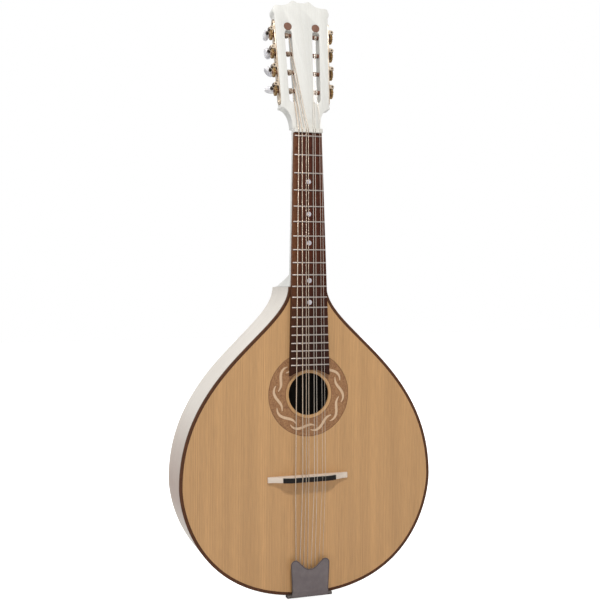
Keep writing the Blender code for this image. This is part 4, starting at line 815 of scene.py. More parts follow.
EBONY = smooth_solid("ebony", (0.011, 0.008, 0.007), (0.005, 0.004, 0.004), 0.40, 600.0, 0.2)
DOT_PEARL = pearl("dot_pearl", (0.62, 0.59, 0.64), (0.48, 0.46, 0.52), 420.0, (0.70, 0.67, 0.70))
BUTTON_PEARL = pearl("button_pearl", (0.80, 0.79, 0.82), (0.55, 0.53, 0.58), 180.0,
                     (0.88, 0.87, 0.88))
FRET_METAL = metal("nickel_silver", (0.47, 0.42, 0.39), (0.30, 0.26, 0.24), 0.36,
                   (60.0, 900.0, 900.0), stain=0.35)
PLATE_METAL = metal("gilt_plate", (0.66, 0.56, 0.44), (0.20, 0.13, 0.08), 0.24, stain=0.8)
GEAR_BRASS = metal("gear_brass", (0.40, 0.26, 0.115), (0.14, 0.080, 0.036), 0.32,
                   (400.0, 90.0, 400.0))
ROLLER_BROWN = metal("roller_bronze", (0.215, 0.100, 0.065), (0.10, 0.045, 0.028), 0.62,
                     (1200.0, 90.0, 90.0), 0.7)
WORM_STEEL = metal("dark_steel", (0.085, 0.070, 0.060), (0.035, 0.028, 0.024), 0.34)
BASE_STEEL = metal("tailpiece_steel", (0.13, 0.115, 0.11), (0.055, 0.045, 0.040), 0.38,
                   metallic=0.6)
COVER_GREY = metal("grey_lacquer", (0.175, 0.150, 0.155), (0.140, 0.118, 0.122), 0.46,
                   metallic=0.25)
# Dark rim of the cover's face: painted shade along its edge
COVER_SHADE_EDGE = metal("worn_edge", (0.060, 0.050, 0.048), (0.030, 0.025, 0.024), 0.42, metallic=0.5)
STRING_STEEL = metal("string_steel", (0.76, 0.70, 0.62), (0.50, 0.44, 0.37), 0.24,
                     (900.0, 900.0, 60.0), stain=0.3)
# The second colour serves both as tarnish and as the painted shade in the windings' grooves
STRING_BRONZE = wound_wire("string_bronze", (0.68, 0.58, 0.47), (0.38, 0.27, 0.19), 0.00034)


# Soundboard, binding, sides and back


def bars_across(heights, face, direction):
    """Bars glued across a plate's inner face, thinned at their tips."""
    bm = bmesh.new()
    inset = RIB_THICKNESS + LINING_WIDTH + GAP
    for z in heights:
        reach = min(width_at(z + side * BAR_WIDTH / 2, inset) for side in (-1, 1))
        waist = reach - BAR_TAPER
        tip = face + direction * BAR_TIP_HEIGHT
        crown = face + direction * BAR_HEIGHT
        section = [(-reach, face), (reach, face), (reach, tip), (waist, crown), (-waist, crown),
                   (-reach, tip)]
        put_in(bm, soften(rise(section, z - BAR_WIDTH / 2, z + BAR_WIDTH / 2), BAR_ROUND))
    return bm


def make_soundboard():
    """The top with its soundhole, and the seat that the rosette lies in."""
    seat = RING_OUTER + INLAY_GAP
    board = plate([mirrored(body_half(BINDING_WIDTH + GAP / 6)), circle((0.0, HOLE_Z), seat, 96)],
                  0.0, TOP_THICKNESS)
    floor = RING_THICKNESS + GAP
    land = RING_INNER - INLAY_GAP
    rim = HOLE_ROUND
    section = [(seat, floor), (land, floor), (land, 0.0), (HOLE_RADIUS + rim, 0.0),
               (HOLE_RADIUS + rim * 0.3, rim * 0.3), (HOLE_RADIUS, rim),
               (HOLE_RADIUS, TOP_THICKNESS), (seat, TOP_THICKNESS)]
    put_in(board, ring(section))
    show("soundboard_top", board, SPRUCE, "soundboard")
    bars = bars_across(TOP_BARS_Z, TOP_THICKNESS, 1)
    show("soundboard_bars", bars, INNER_SPRUCE, "soundboard")


def stroke_outline(order):
    """One S-shaped light stroke that swings from the outer side of the ring to the inner one."""
    middle = STROKE_FIRST_ANGLE + 360.0 * order / STROKE_COUNT
    spine = []
    for share in shares(STROKE_STEPS):
        turn = radians(middle + STROKE_HALF_SPAN * (2 * share - 1))
        wave = cos(2 * pi * STROKE_WAVES * (share - STROKE_OUTER_TURN))
        radius = STROKE_MEAN_RADIUS + STROKE_SWING * wave
        spine.append(Vector((radius * cos(turn), radius * sin(turn))))
    left = []
    right = []
    for index, point in enumerate(spine):
        along = (spine[min(index + 1, STROKE_STEPS)] - spine[max(index - 1, 0)]).normalized()
        from_middle = abs(2 * index / STROKE_STEPS - 1)
        half = STROKE_HALF_WIDTH * (1 - STROKE_TIP_THINNING * from_middle ** 2.5)
        across = Vector((-along.y, along.x)) * half
        left.append(point + across)
        right.append(point - across)
    return [(point.x, point.y + HOLE_Z) for point in left + right[::-1]]


def make_rosette():
    rim = RING_ROUND
    section = [(RING_INNER, rim), (RING_INNER + rim, 0.0), (RING_OUTER - rim, 0.0),
               (RING_OUTER, rim), (RING_OUTER, RING_THICKNESS), (RING_INNER, RING_THICKNESS)]
    show("rosette_wood", ring(section, 128), ROSETTE_BROWN, "rosette_ring")
    strokes = bmesh.new()
    for order in range(STROKE_COUNT):
        # Where strokes cross, every other one lies a hair lower, so that no faces coincide
        lift = -STROKE_RISE + STROKE_STAGGER * (order % 2)
        put_in(strokes, plate([stroke_outline(order)], lift, STROKE_DEPTH))
    show("rosette_strokes", strokes, STROKE_CREAM, "rosette_ring")


def make_binding():
    """A strip bent along the outline from one side of the neck round the tail to the other."""
    outer, inner = [[(-x, z) for x, z in reversed(half)] + half[1:]
                    for half in (body_half(), body_half(BINDING_WIDTH))]
    strip = soften(plate([outer + inner[::-1]], 0.0, BINDING_DEPTH), BINDING_ROUND)
    show("binding_strip", strip, BINDING_BROWN, "edge_binding")


def make_sides():
    """Two ribs, each with a lining strip along the top and one along the back."""
    near = BINDING_DEPTH
    far = BODY_DEPTH - BACK_THICKNESS
    rim = body_half(RIB_THICKNESS)
    # The linings run between the tail block and the neck's block
    first = sum(x <= TAIL_BLOCK_REACH for x, z in rim)
    last = first + sum(x > TAIL_BLOCK_REACH and z < BODY_TOP_Z - NECK_BLOCK_LENGTH
                       for x, z in rim)
    inner = body_half(RIB_THICKNESS + LINING_WIDTH)
    for name, sign in SIDES:
        lining = bmesh.new()
        for start, end in ((near, near + LINING_DEPTH), (far - LINING_DEPTH, far)):
            strip = plate([rim[first:last] + inner[first:last][::-1]], start, end)
            put_in(lining, soften(strip, LINING_ROUND))
        rib = handed(plate([body_half() + rim[::-1]], near, far), sign)
        show("rib_" + name, rib, RIB_WHITE, "side_" + name)
        show("linings_" + name, handed(lining, sign), INNER_SPRUCE, "side_" + name)


def make_back():
    inside = BODY_DEPTH - BACK_THICKNESS
    board = soften(plate([mirrored(body_half())], inside, BODY_DEPTH), BACK_ROUND)
    # The inner faces take the second finish, near-black painted shade of the closed inside
    for face in board.faces:
        face.material_index = 1 if face.normal.y < -0.9 else 0
    piece = show("back_board", board, BODY_WHITE, "back_plate")
    piece.data.materials.append(INSIDE_PAINTED_SHADE)
    bars = bars_across(BACK_BARS_Z, inside, -1)
    show("back_bars", bars, INNER_SPRUCE, "back_plate")


# Neck and headstock


def neck_ring(z, half, depth, fullness):
    """A D-shaped section, flat towards the fingerboard."""
    points = []
    for share in shares(NECK_RING_STEPS):
        turn = pi * share
        x = half * (1 if cos(turn) >= 0 else -1) * abs(cos(turn)) ** fullness
        points.append((x, depth * sin(turn) ** fullness, z))
    return points


def ease(share):
    return share * share * (3 - 2 * share)


def between(first, second, share):
    return first + (second - first) * share


def make_neck():
    """Neck shaft and heel in one, with the block that it ends in inside the body."""
    head_end = HEAD_BREAK_Z - GAP
    heel_start = JOINT_Z + HEEL_LENGTH
    rings = []
    for share in shares(8):
        rings.append(neck_ring(between(head_end, NECK_BLEND_Z, share), BOARD_HALF_NUT,
                               between(HEAD_THICKNESS, NECK_DEPTH_NUT, ease(share)),
                               between(NUT_END_FULLNESS, NECK_FULLNESS, ease(share))))
    for share in shares(10)[1:]:
        z = between(NECK_BLEND_Z, heel_start, share)
        rings.append(neck_ring(z, max(board_half(z), BOARD_HALF_NUT),
                               between(NECK_DEPTH_NUT, NECK_DEPTH_HEEL, share), NECK_FULLNESS))
    for share in shares(24)[1:]:
        z = heel_start - HEEL_LENGTH * share
        half = board_half(z) + (JOINT_HALF_WIDTH - board_half(JOINT_Z)) * share ** 2
        rings.append(neck_ring(z, half, between(NECK_DEPTH_HEEL, BODY_DEPTH, share ** HEEL_POWER),
                               between(NECK_FULLNESS, HEEL_FULLNESS, share)))
    neck = through(rings)
    low = JOINT_Z - NECK_BLOCK_LENGTH
    inset = RIB_THICKNESS + GAP
    inner = [(x, z) for x, z in body_half(inset) if z > low + 0.001]
    inner[-1] = (inner[-1][0], BODY_TOP_Z + 2 * GAP)
    outline = mirrored([(width_at(low, inset), low)] + inner)
    put_in(neck, plate([outline], TOP_THICKNESS + GAP, BODY_DEPTH - BACK_THICKNESS - GAP))
    show("neck_shaft", neck, NECK_WHITE, "neck", limit=40.0)


def slot_centre(u):
    share = (u - SLOT_START_U) / (DISC_U - SLOT_START_U)
    return between(SLOT_CENTRE_START, SLOT_CENTRE_END, share)


def head_edge(u):
    share = (u - EDGE_START_U) / (EDGE_END_U - EDGE_START_U)
    return between(EDGE_HALF_START, EDGE_HALF_END, share)


def smooth_line(points, steps):
    """A line through points, rounded as a cut with a fine saw and file would be."""
    made = []
    for index in range(len(points) - 1):
        before = Vector(points[max(index - 1, 0)])
        start = Vector(points[index])
        end = Vector(points[index + 1])
        after = Vector(points[min(index + 2, len(points) - 1)])
        for t in shares(steps)[:-1]:
            spot = ((2 * start) + (end - before) * t
                    + (2 * before - 5 * start + 4 * end - after) * t * t
                    + (3 * start - before - 3 * end + after) * t ** 3) * 0.5
            made.append((spot.x, spot.y))
    return made + [points[-1]]


def head_outline():
    """Treble half of the headstock's face, from the nut up to the crest."""
    flare_run = HEAD_CORNER_HALF - BOARD_HALF_NUT
    flare_rise = HEAD_CORNER_U - HEAD_CORNER_LIP - HEAD_FLARE_START_U
    points = [(BOARD_HALF_NUT, 0.0)]
    for share in shares(24)[1:]:
        turn = radians(90.0 * share)
        points.append((BOARD_HALF_NUT + flare_run * (1 - cos(turn)),
                       HEAD_FLARE_START_U + flare_rise * sin(turn)))
    points += [(HEAD_CORNER_HALF, HEAD_CORNER_U), (EDGE_HALF_START, EDGE_START_U),
               (EDGE_HALF_END, EDGE_END_U)]
    ear = HEAD_EAR_ROUND
    crest = [
        (EDGE_HALF_END, EDGE_END_U + ear),
        (HEAD_EAR_HALF, HEAD_EAR_U),
        (HEAD_EAR_HALF - 0.15 * ear, HEAD_EAR_U + 1.5 * ear),
        (HEAD_EAR_HALF - ear, HEAD_SHOULDER_U),
        (HEAD_CREST_HALF + HEAD_CREST_SWEEP, HEAD_SHOULDER_U + 0.1 * HEAD_CREST_SWEEP),
        (HEAD_CREST_HALF, HEAD_SHOULDER_U + ear),
        (HEAD_HORN_HALF + 0.5 * ear, HEAD_LENGTH + 0.8 * HEAD_HORN_RISE),
        (HEAD_HORN_HALF - 0.5 * ear, HEAD_LENGTH + HEAD_HORN_RISE),
        (0.45 * HEAD_HORN_HALF, HEAD_LENGTH + 1.25 * HEAD_NOTCH_RISE),
        (0.0, HEAD_LENGTH + HEAD_NOTCH_RISE),
    ]
    return points + smooth_line(crest, 5)


# The headstock's own frame: X across, Y from its face to its back, Z away from the nut
HEAD_FRAME = shifted(z=HEAD_BREAK_Z) @ Matrix.Rotation(-radians(HEAD_TILT), 4, "X")


def slot_outline(sign, from_x=0.0, from_z=0.0):
    half = SLOT_WIDTH / 2
    low = arc((sign * slot_centre(SLOT_START_U), SLOT_START_U + half), half, 180, 360, 14)
    high = arc((sign * slot_centre(SLOT_END_U), SLOT_END_U - half), half, 0, 180, 14)
    return [(x - from_x, z - from_z) for x, z in low + high]


def make_headstock():
    """Slotted headstock; the two brown discs lie above its slots."""
    head = plate([mirrored(head_outline())], 0.0, HEAD_THICKNESS)
    past = 0.005
    slots = [slot_outline(-1), slot_outline(1)]
    discs = [circle((sign * SLOT_CENTRE_END, DISC_U), DISC_RADIUS, 32) for sign in (-1, 1)]
    for outlines, back in ((slots, HEAD_THICKNESS + past), (discs, DISC_DEPTH)):
        cutters = bmesh.new()
        for outline in outlines:
            put_in(cutters, plate([outline], -past, back))
        head = carve(head, cutters)
    soften(head, HEAD_ROUND, 2, 50.0)
    # The end at the nut stands square to the fingerboard, in spite of the tilt
    slope = tan(radians(HEAD_TILT))
    for vertex in head.verts:
        if vertex.co.z < 0.0008:
            vertex.co.z += vertex.co.y * slope
    show("headstock_blank", move(head, HEAD_FRAME), NECK_WHITE, "headstock",
         limit=30.0)
    plugs = bmesh.new()
    for sign in (-1, 1):
        x = sign * SLOT_CENTRE_END
        profile = [(DISC_DEPTH, DISC_RADIUS - 0.0001), (0.0003, DISC_RADIUS - 0.0001),
                   (0.0, DISC_RADIUS - 0.0005)]
        slot = plate([slot_outline(sign, x, DISC_U)], -0.01, 0.01)
        put_in(plugs, carve(turned(profile, "Y"), slot), shifted(x, 0.0, DISC_U))
    show("slot_discs", move(plugs, HEAD_FRAME), DISC_BROWN, "headstock")


# Fingerboard, frets, dots and nut


def make_fingerboard():
    """The board, with its end rounded inwards to follow the soundhole."""
    half_low = board_half(BOARD_END_CORNER_Z)
    sagitta = BOARD_END_RADIUS - (BOARD_END_RADIUS ** 2 - half_low ** 2) ** 0.5
    reach = atan2(half_low, BOARD_END_RADIUS - sagitta) * 180 / pi
    centre = (0.0, BOARD_END_CORNER_Z + sagitta - BOARD_END_RADIUS)
    head_half = board_half(BOARD_HEAD_END)
    outline = arc(centre, BOARD_END_RADIUS, 90 + reach, 90 - reach, 32)
    outline += [(head_half, BOARD_HEAD_END), (-head_half, BOARD_HEAD_END)]
    board = soften(plate([outline], -BOARD_TOP, -GAP / 4), BOARD_ROUND)
    show("fingerboard_wood", board, ROSEWOOD, "fingerboard")


def make_frets():
    half = FRET_WIDTH / 2
    section = [(-BOARD_TOP + FRET_TANG, -half), (-BOARD_TOP, -half)]
    section += [(-BOARD_TOP - FRET_HEIGHT * sin(radians(angle)), -half * cos(radians(angle)))
                for angle in range(20, 161, 14)]
    section += [(-BOARD_TOP, half), (-BOARD_TOP + FRET_TANG, half)]
    frets = bmesh.new()
    for order in range(FRET_COUNT + 1):
        z = fret_z(order)
        width = board_half(z) - FRET_INSET
        wire = bar([(y, z + offset) for y, offset in section], -width, width)
        ends = [edge for edge in wire.edges if abs(edge.verts[0].co.x) > width - 1e-6
                and abs(edge.verts[0].co.x - edge.verts[1].co.x) < 1e-6]
        put_in(frets, round_edges(wire, ends, FRET_END_ROUND, 2))
    show("fret_wires", frets, FRET_METAL, "fingerboard")


def make_dots():
    dots = bmesh.new()
    profile = [(-BOARD_TOP + 0.0004, DOT_RADIUS), (-BOARD_TOP - DOT_RISE * 0.6, DOT_RADIUS),
               (-BOARD_TOP - DOT_RISE, DOT_RADIUS - 0.0002)]
    for order in DOT_FRETS:
        put_in(dots, turned(profile, "Y"), shifted(z=(fret_z(order) + fret_z(order - 1)) / 2))
    show("position_dots", dots, DOT_PEARL, "fingerboard")


def string_spots(pairs, course, middle):
    """X of the eight strings, from the bass side."""
    return [middle + (order // 2 - 1.5) * course + (order % 2 - 0.5) * pairs[order // 2]
            for order in range(8)]


DIAMETERS = [diameter for diameter in COURSE_DIAMETERS for _ in range(2)]
NUT_SPOTS = string_spots(PAIRS_AT_NUT, COURSE_AT_NUT, MIDDLE_AT_NUT)
BRIDGE_SPOTS = string_spots(PAIRS_AT_BRIDGE, COURSE_AT_BRIDGE, MIDDLE_AT_BRIDGE)


def zero_fret_y(diameter):
    return -(FRET_TOP + GAP / 3 + diameter / 2)


def nut_y(diameter):
    return zero_fret_y(diameter) + NUT_DROP


def saddle_y(diameter):
    return -(SADDLE_HEIGHT - 0.0008 + GAP / 2 + diameter / 2)


def notched(half_width, top, spots, string_y, spare):
    """The upper line of a nut or saddle, with a round-bottomed notch under each string."""
    points = [(half_width, top)]
    for x, diameter in sorted(zip(spots, DIAMETERS), reverse=True):
        floor = string_y(diameter) + diameter / 2 + spare
        half = (diameter + NOTCH_CLEARANCE) / 2
        points += [(x + half, top), (x + half, floor - 0.0001), (x + half / 2, floor),
                   (x - half / 2, floor), (x - half, floor - 0.0001), (x - half, top)]
    return points + [(-half_width, top)]


def make_nut():
    half = board_half(BOARD_HEAD_END)
    section = [(-half, -GAP / 2), (half, -GAP / 2)]
    section += notched(half, -NUT_HEIGHT, NUT_SPOTS, nut_y, 0.0002)
    low = BOARD_HEAD_END + GAP
    nut = soften(rise(section, low, low + NUT_THICKNESS), NUT_ROUND, 1, 50.0)
    show("nut_bone", nut, BONE, "nut")


# Bridge


def bridge_top(x):
    share = max(0.0, (abs(x) - BRIDGE_CREST_HALF) / (BRIDGE_LENGTH / 2 - BRIDGE_CREST_HALF))
    return BRIDGE_TIP_HEIGHT + (BRIDGE_HEIGHT - BRIDGE_TIP_HEIGHT) * (1 + cos(pi * share)) / 2


def make_bridge():
    """Pale floating bridge with winged ends, and the black saddle that sits in it."""
    low = SADDLE_Z - SADDLE_THICKNESS / 2
    high = SADDLE_Z + SADDLE_THICKNESS / 2
    aside = shifted(BRIDGE_MIDDLE_X)
    tip = BRIDGE_LENGTH / 2
    xs = [between(tip, BRIDGE_CREST_HALF, share) for share in shares(36)]
    half = [(tip, 0.0)] + [(x, -bridge_top(x)) for x in xs]
    base = rise(mirrored(half), low, high + BRIDGE_WALL)
    floor = BRIDGE_HEIGHT - SADDLE_DEPTH
    seat = block((-SADDLE_HALF_LENGTH, -0.02, low - 0.001), (SADDLE_HALF_LENGTH, -floor, high))
    base = soften(carve(base, seat), BRIDGE_ROUND, 3, 50.0)
    show("bridge_wood", move(base, aside), BRIDGE_WHITE, "bridge_base")
    proud = SADDLE_HEIGHT - BRIDGE_HEIGHT
    reach = SADDLE_HALF_LENGTH - 0.0001
    xs = [between(reach, BRIDGE_CREST_HALF, share) for share in shares(10)[:-1]]
    slope = [(x, -bridge_top(x) - proud) for x in xs]
    section = [(-reach, -floor - 0.0001), (reach, -floor - 0.0001)] + slope
    section += notched(BRIDGE_CREST_HALF, -SADDLE_HEIGHT,
                       [x - BRIDGE_MIDDLE_X for x in BRIDGE_SPOTS], saddle_y, 0.0001)
    section += [(-x, y) for x, y in reversed(slope)]
    saddle = soften(rise(section, low, high), SADDLE_ROUND, 1, 50.0)
    show("saddle_ebony", move(saddle, aside), EBONY, "bridge_saddle")


# Tailpiece


def cover_outline():
    """Treble half of the cover's face: straight side, round horn, dip to the notch."""
    horn_x = COVER_HALF_WIDTH - HORN_RADIUS + HORN_SPREAD
    points = [(COVER_HALF_WIDTH, PIN_Z - 2 * BARREL_RADIUS), (COVER_HALF_WIDTH, COVER_SIDE_TOP_Z)]
    points += arc((horn_x, HORN_Z - HORN_RADIUS), HORN_RADIUS, 0, 125, 24)
    return points + arc((0.0, NOTCH_Z + NOTCH_RADIUS), NOTCH_RADIUS, -42, -90, 16)


def make_tailpiece():
    """The bent sheet cover; the base, its hooks and the pin keep their solids."""
    lift = -COVER_RISE
    crown = lift - COVER_CROWN
    past = HORN_Z + 2 * SHEET
    section = arc((PIN_Y, PIN_Z), BARREL_RADIUS, 120, -180, 25)
    section += [(lift, COVER_BEND_Z - 1.5 * SHEET), (crown, past), (crown + SHEET, past),
                (lift + SHEET, COVER_BEND_Z - SHEET)]
    reach = COVER_HALF_WIDTH + HORN_RADIUS
    shape = plate([mirrored(cover_outline())], -0.020, 0.010)
    cover = carve(bar(section, -reach, reach), shape, "INTERSECT")
    bore = turned([(-reach - 0.01, PIN_RADIUS + 0.0001), (reach + 0.01, PIN_RADIUS + 0.0001)], "X")
    cover = carve(cover, move(bore, shifted(0.0, PIN_Y, PIN_Z)))
    soften(cover, COVER_ROUND, 2, 50.0)
    front = [face for face in cover.faces
             if face.normal.y < -0.95 and face.calc_center_median().z > COVER_BEND_Z]
    rim = bmesh.ops.inset_region(cover, faces=front, thickness=COVER_RIM, use_even_offset=True)
    # The narrow rim round the cover's face takes the second finish, painted shade along its edge
    for face in rim["faces"]:
        if face.calc_center_median().z > COVER_BEND_Z + COVER_RIM:
            face.material_index = 1
    piece = show("tailpiece_lid_sheet", move(cover, shifted(TAILPIECE_MIDDLE_X)), COVER_GREY,
                 "tailpiece_cover", "tailpiece_lid")
    piece.data.materials.append(COVER_SHADE_EDGE)


# Machine heads


def tuner_frame(sign):
    """Frame on the headstock's edge at the lowest roller: X out, Z along the edge."""
    place = shifted(sign * head_edge(FIRST_ROLLER_U), 0.0, FIRST_ROLLER_U)
    return HEAD_FRAME @ place @ Matrix.Rotation(sign * EDGE_SLOPE, 4, "Y")


def screw_head():
    """A slotted round head whose seat is at X 0."""
    profile = [(share * SCREW_HEIGHT, radius * SCREW_RADIUS)
               for share, radius in ((0.0, 1.0), (0.35, 0.97), (0.7, 0.80), (1.0, 0.45))]
    cut = block((0.5 * SCREW_HEIGHT, -0.0030, -SCREW_SLOT_HALF),
                (2 * SCREW_HEIGHT, 0.0030, SCREW_SLOT_HALF))
    return carve(turned(profile, "X", 24), cut)


def plate_outline():
    """The machine head plate's rectangle with its corners cut off."""
    cut = PLATE_CORNER
    near, far, low, high = PLATE_NEAR_V, PLATE_FAR_V, PLATE_LOW, PLATE_HIGH
    return [(near + cut, low), (far - cut, low), (far, low + cut), (far, high - cut),
            (far - cut, high), (near + cut, high), (near, high - cut), (near, low + cut)]


def make_plate(name, sign):
    """The plate on one edge of the headstock, with a bearing at each end of each worm."""
    outer = GAP + PLATE_THICKNESS
    sheet = soften(bar(plate_outline(), 0.0, outer), PLATE_ROUND, 2, 30.0)
    half = BEARING_HALF_WIDTH
    tip = GEAR_MIDDLE + WORM_SHAFT_RADIUS + BEARING_RIM
    for order in range(ROLLER_COUNT):
        z = order * ROLLER_PITCH + WORM_OFFSET
        for side in (-1, 1):
            near = ROLLER_V + side * (THREAD_HALF_LENGTH + 2 * GAP)
            far = near + side * BEARING_THICKNESS
            root = outer - 0.0004
            outline = [(root, z - half)] + arc((tip - half, z), half, -90, 90, 12)
            outline += [(root, z + half)]
            bearing = plate([outline], min(near, far), max(near, far))
            put_in(sheet, soften(bearing, BEARING_ROUND, 1, 50.0))
    screws = [PLATE_LOW + SCREW_INSET, PLATE_HIGH - SCREW_INSET]
    screws[1:1] = [(order + 0.60) * ROLLER_PITCH for order in range(ROLLER_COUNT - 1)]
    for z in screws:
        # Each slot stands as it was left, at an angle that its height gives
        spot = shifted(outer, (PLATE_NEAR_V + PLATE_FAR_V) / 2, z)
        put_in(sheet, screw_head(), spot @ Matrix.Rotation(z * 90.0, 4, "X"))
    show("plate_" + name, move(handed(sheet, sign), tuner_frame(sign)), PLATE_METAL,
         "tuner_plate_" + name)


def gear_blank():
    """Toothed wheel whose teeth lean with the worm's thread, with a turned hub face."""
    pitch_radius = GEAR_TEETH * GEAR_MODULE / 2
    lead = atan(WORM_PITCH / (2 * pi * (WORM_OFFSET - pitch_radius)))
    twist = GEAR_THICKNESS * tan(lead) / pitch_radius
    root_half = TOOTH_ROOT_SHARE * 2 * pi / GEAR_TEETH
    tip_half = TOOTH_TIP_SHARE * 2 * pi / GEAR_TEETH
    rise_to_tip = [(-root_half, GEAR_ROOT_RADIUS), (-tip_half - 0.03, GEAR_TIP_RADIUS - 0.0005),
                   (-tip_half, GEAR_TIP_RADIUS - 0.0001)]
    flank = rise_to_tip + [(0.0, GEAR_TIP_RADIUS)]
    flank += [(-offset, radius) for offset, radius in reversed(rise_to_tip)]
    rings = []
    for level, share in ((-0.5, 0.94), (-0.42, 1.0), (0.0, 1.0), (0.42, 1.0), (0.5, 0.94)):
        points = []
        for tooth in range(GEAR_TEETH):
            middle = 2 * pi * tooth / GEAR_TEETH + level * twist
            for offset, radius in flank:
                turn = middle + offset + pi / 2
                points.append((level * GEAR_THICKNESS, share * radius * cos(turn),
                               share * radius * sin(turn)))
        rings.append(points)
    gear = through(rings)
    groove = [(0.0022, 0.0, 0.0), (0.0038, 0.0, 0.0), (0.0036, 0.0003, 0.0), (0.0024, 0.0003, 0.0)]
    for side in (-1, 1):
        face = shifted(side * GEAR_THICKNESS / 2) @ Matrix.Rotation(-side * pi / 2, 4, "Z")
        put_in(gear, spun(groove, (0, 1, 0), 32, True), face @ shifted(y=-0.00015))
    return gear


def worm_blank():
    """Worm shaft with its right-hand thread, collar and ferrule."""
    ferrule = BUTTON_START - ROLLER_V - GAP
    bearing = THREAD_HALF_LENGTH + 2 * GAP + BEARING_THICKNESS
    collar = bearing + 0.0004
    shaft = WORM_SHAFT_RADIUS
    neck = shaft - 0.0002
    rim = 0.0003
    profile = [(-bearing, neck), (-bearing + rim, shaft), (collar, shaft), (collar + 0.0001, neck),
               (ferrule - FERRULE_LENGTH, neck), (ferrule - FERRULE_LENGTH, FERRULE_RADIUS - rim),
               (ferrule - FERRULE_LENGTH + rim, FERRULE_RADIUS), (ferrule - rim, FERRULE_RADIUS),
               (ferrule, FERRULE_RADIUS - rim), (ferrule, shaft), (ferrule + BUTTON_SOCKET, shaft)]
    worm = turned(profile, "Y", 24)
    thread = bmesh.new()
    start = -THREAD_TURNS * WORM_PITCH / 2
    sunk = shaft - 0.0003
    crest = WORM_CREST_RADIUS
    section = [(sunk, -THREAD_ROOT_HALF), (crest - 0.0001, -THREAD_CREST_HALF), (crest, 0.0),
               (crest - 0.0001, THREAD_CREST_HALF), (sunk, THREAD_ROOT_HALF)]
    verts = [thread.verts.new((0.0, start + along, radius)) for radius, along in section]
    steps = THREAD_TURNS * 28
    # The thread rises along +Y while it turns from +Z towards +X
    bmesh.ops.spin(thread, geom=[thread.faces.new(verts)], cent=(0, 0, 0), axis=(0, 1, 0),
                   dvec=(0.0, THREAD_TURNS * WORM_PITCH / steps, 0.0),
                   angle=2 * pi * THREAD_TURNS, steps=steps, use_merge=False, use_duplicate=False)
    put_in(worm, outward(thread))
    return worm


def button_blank():
    """Oval pearl button: flat cheeks, rounded rims and a short neck at the shaft."""
    middle = BUTTON_LENGTH / 2
    half_levels = [(1.0, 0.60), (0.94, 0.80), (0.72, 0.93), (0.40, 1.0)]
    levels = [(-level, share) for level, share in half_levels] + half_levels[::-1]
    rings = []
    for level, share in levels:
        turns = [2 * pi * part for part in shares(32)[:-1]]
        rings.append([(BUTTON_HALF_WIDTH * cos(turn) * share,
                       middle + middle * sin(turn) * (0.35 + 0.65 * share),
                       level * BUTTON_THICKNESS / 2) for turn in turns])
    button = through(rings)
    put_in(button, turned([(-0.0002, 0.0020), (0.0010, 0.0022), (0.0030, 0.0030)], "Y", 24))
    return button


def roller_blank(sign):
    """Roller with its string hole's shoulder, spigot and the screw that holds the gear."""
    slot_inner = head_edge(FIRST_ROLLER_U) - slot_centre(FIRST_ROLLER_U) + SLOT_WIDTH / 2
    near = GEAR_MIDDLE - GEAR_THICKNESS / 2 - GAP
    far = GEAR_MIDDLE + GEAR_THICKNESS / 2
    profile = [(-slot_inner - BLIND_DEPTH, ROLLER_RADIUS), (near, ROLLER_RADIUS),
               (near, SPIGOT_RADIUS), (far + GAP, SPIGOT_RADIUS)]
    roller = turned(profile, "X")
    put_in(roller, screw_head(), shifted(far + GAP / 2))
    return handed(roller, sign)


def make_tuners():
    """Both plates, and the roller, gear, worm and button of each of the eight machine heads."""
    for name, sign in SIDES:
        make_plate(name, sign)
        for order, angle in enumerate(BUTTON_ANGLES[name]):
            label = name + "_" + str(order + 1)
            z = order * ROLLER_PITCH
            x = sign * GEAR_MIDDLE
            turning = "button_and_worm_" + label
            driven = "roller_and_gear_" + label
            turn = Matrix.Rotation(radians(angle), 4, "Y")
            for kind, bm, spot, finish, body, slot in (
                    ("roller", roller_blank(sign), shifted(0.0, ROLLER_V, z), ROLLER_BROWN,
                     driven, "brass"),
                    ("gear", gear_blank(), shifted(x, ROLLER_V, z), GEAR_BRASS, driven, "brass"),
                    ("worm", worm_blank(), shifted(x, ROLLER_V, z + WORM_OFFSET), WORM_STEEL,
                     turning, "dark_steel"),
                    ("button", button_blank(), shifted(x, BUTTON_START, z + WORM_OFFSET) @ turn,
                     BUTTON_PEARL, turning, "pearl_plastic")):
                show(kind + "_piece_" + label, move(bm, tuner_frame(sign) @ spot), finish,
                     kind + "_" + label, body)


# Strings


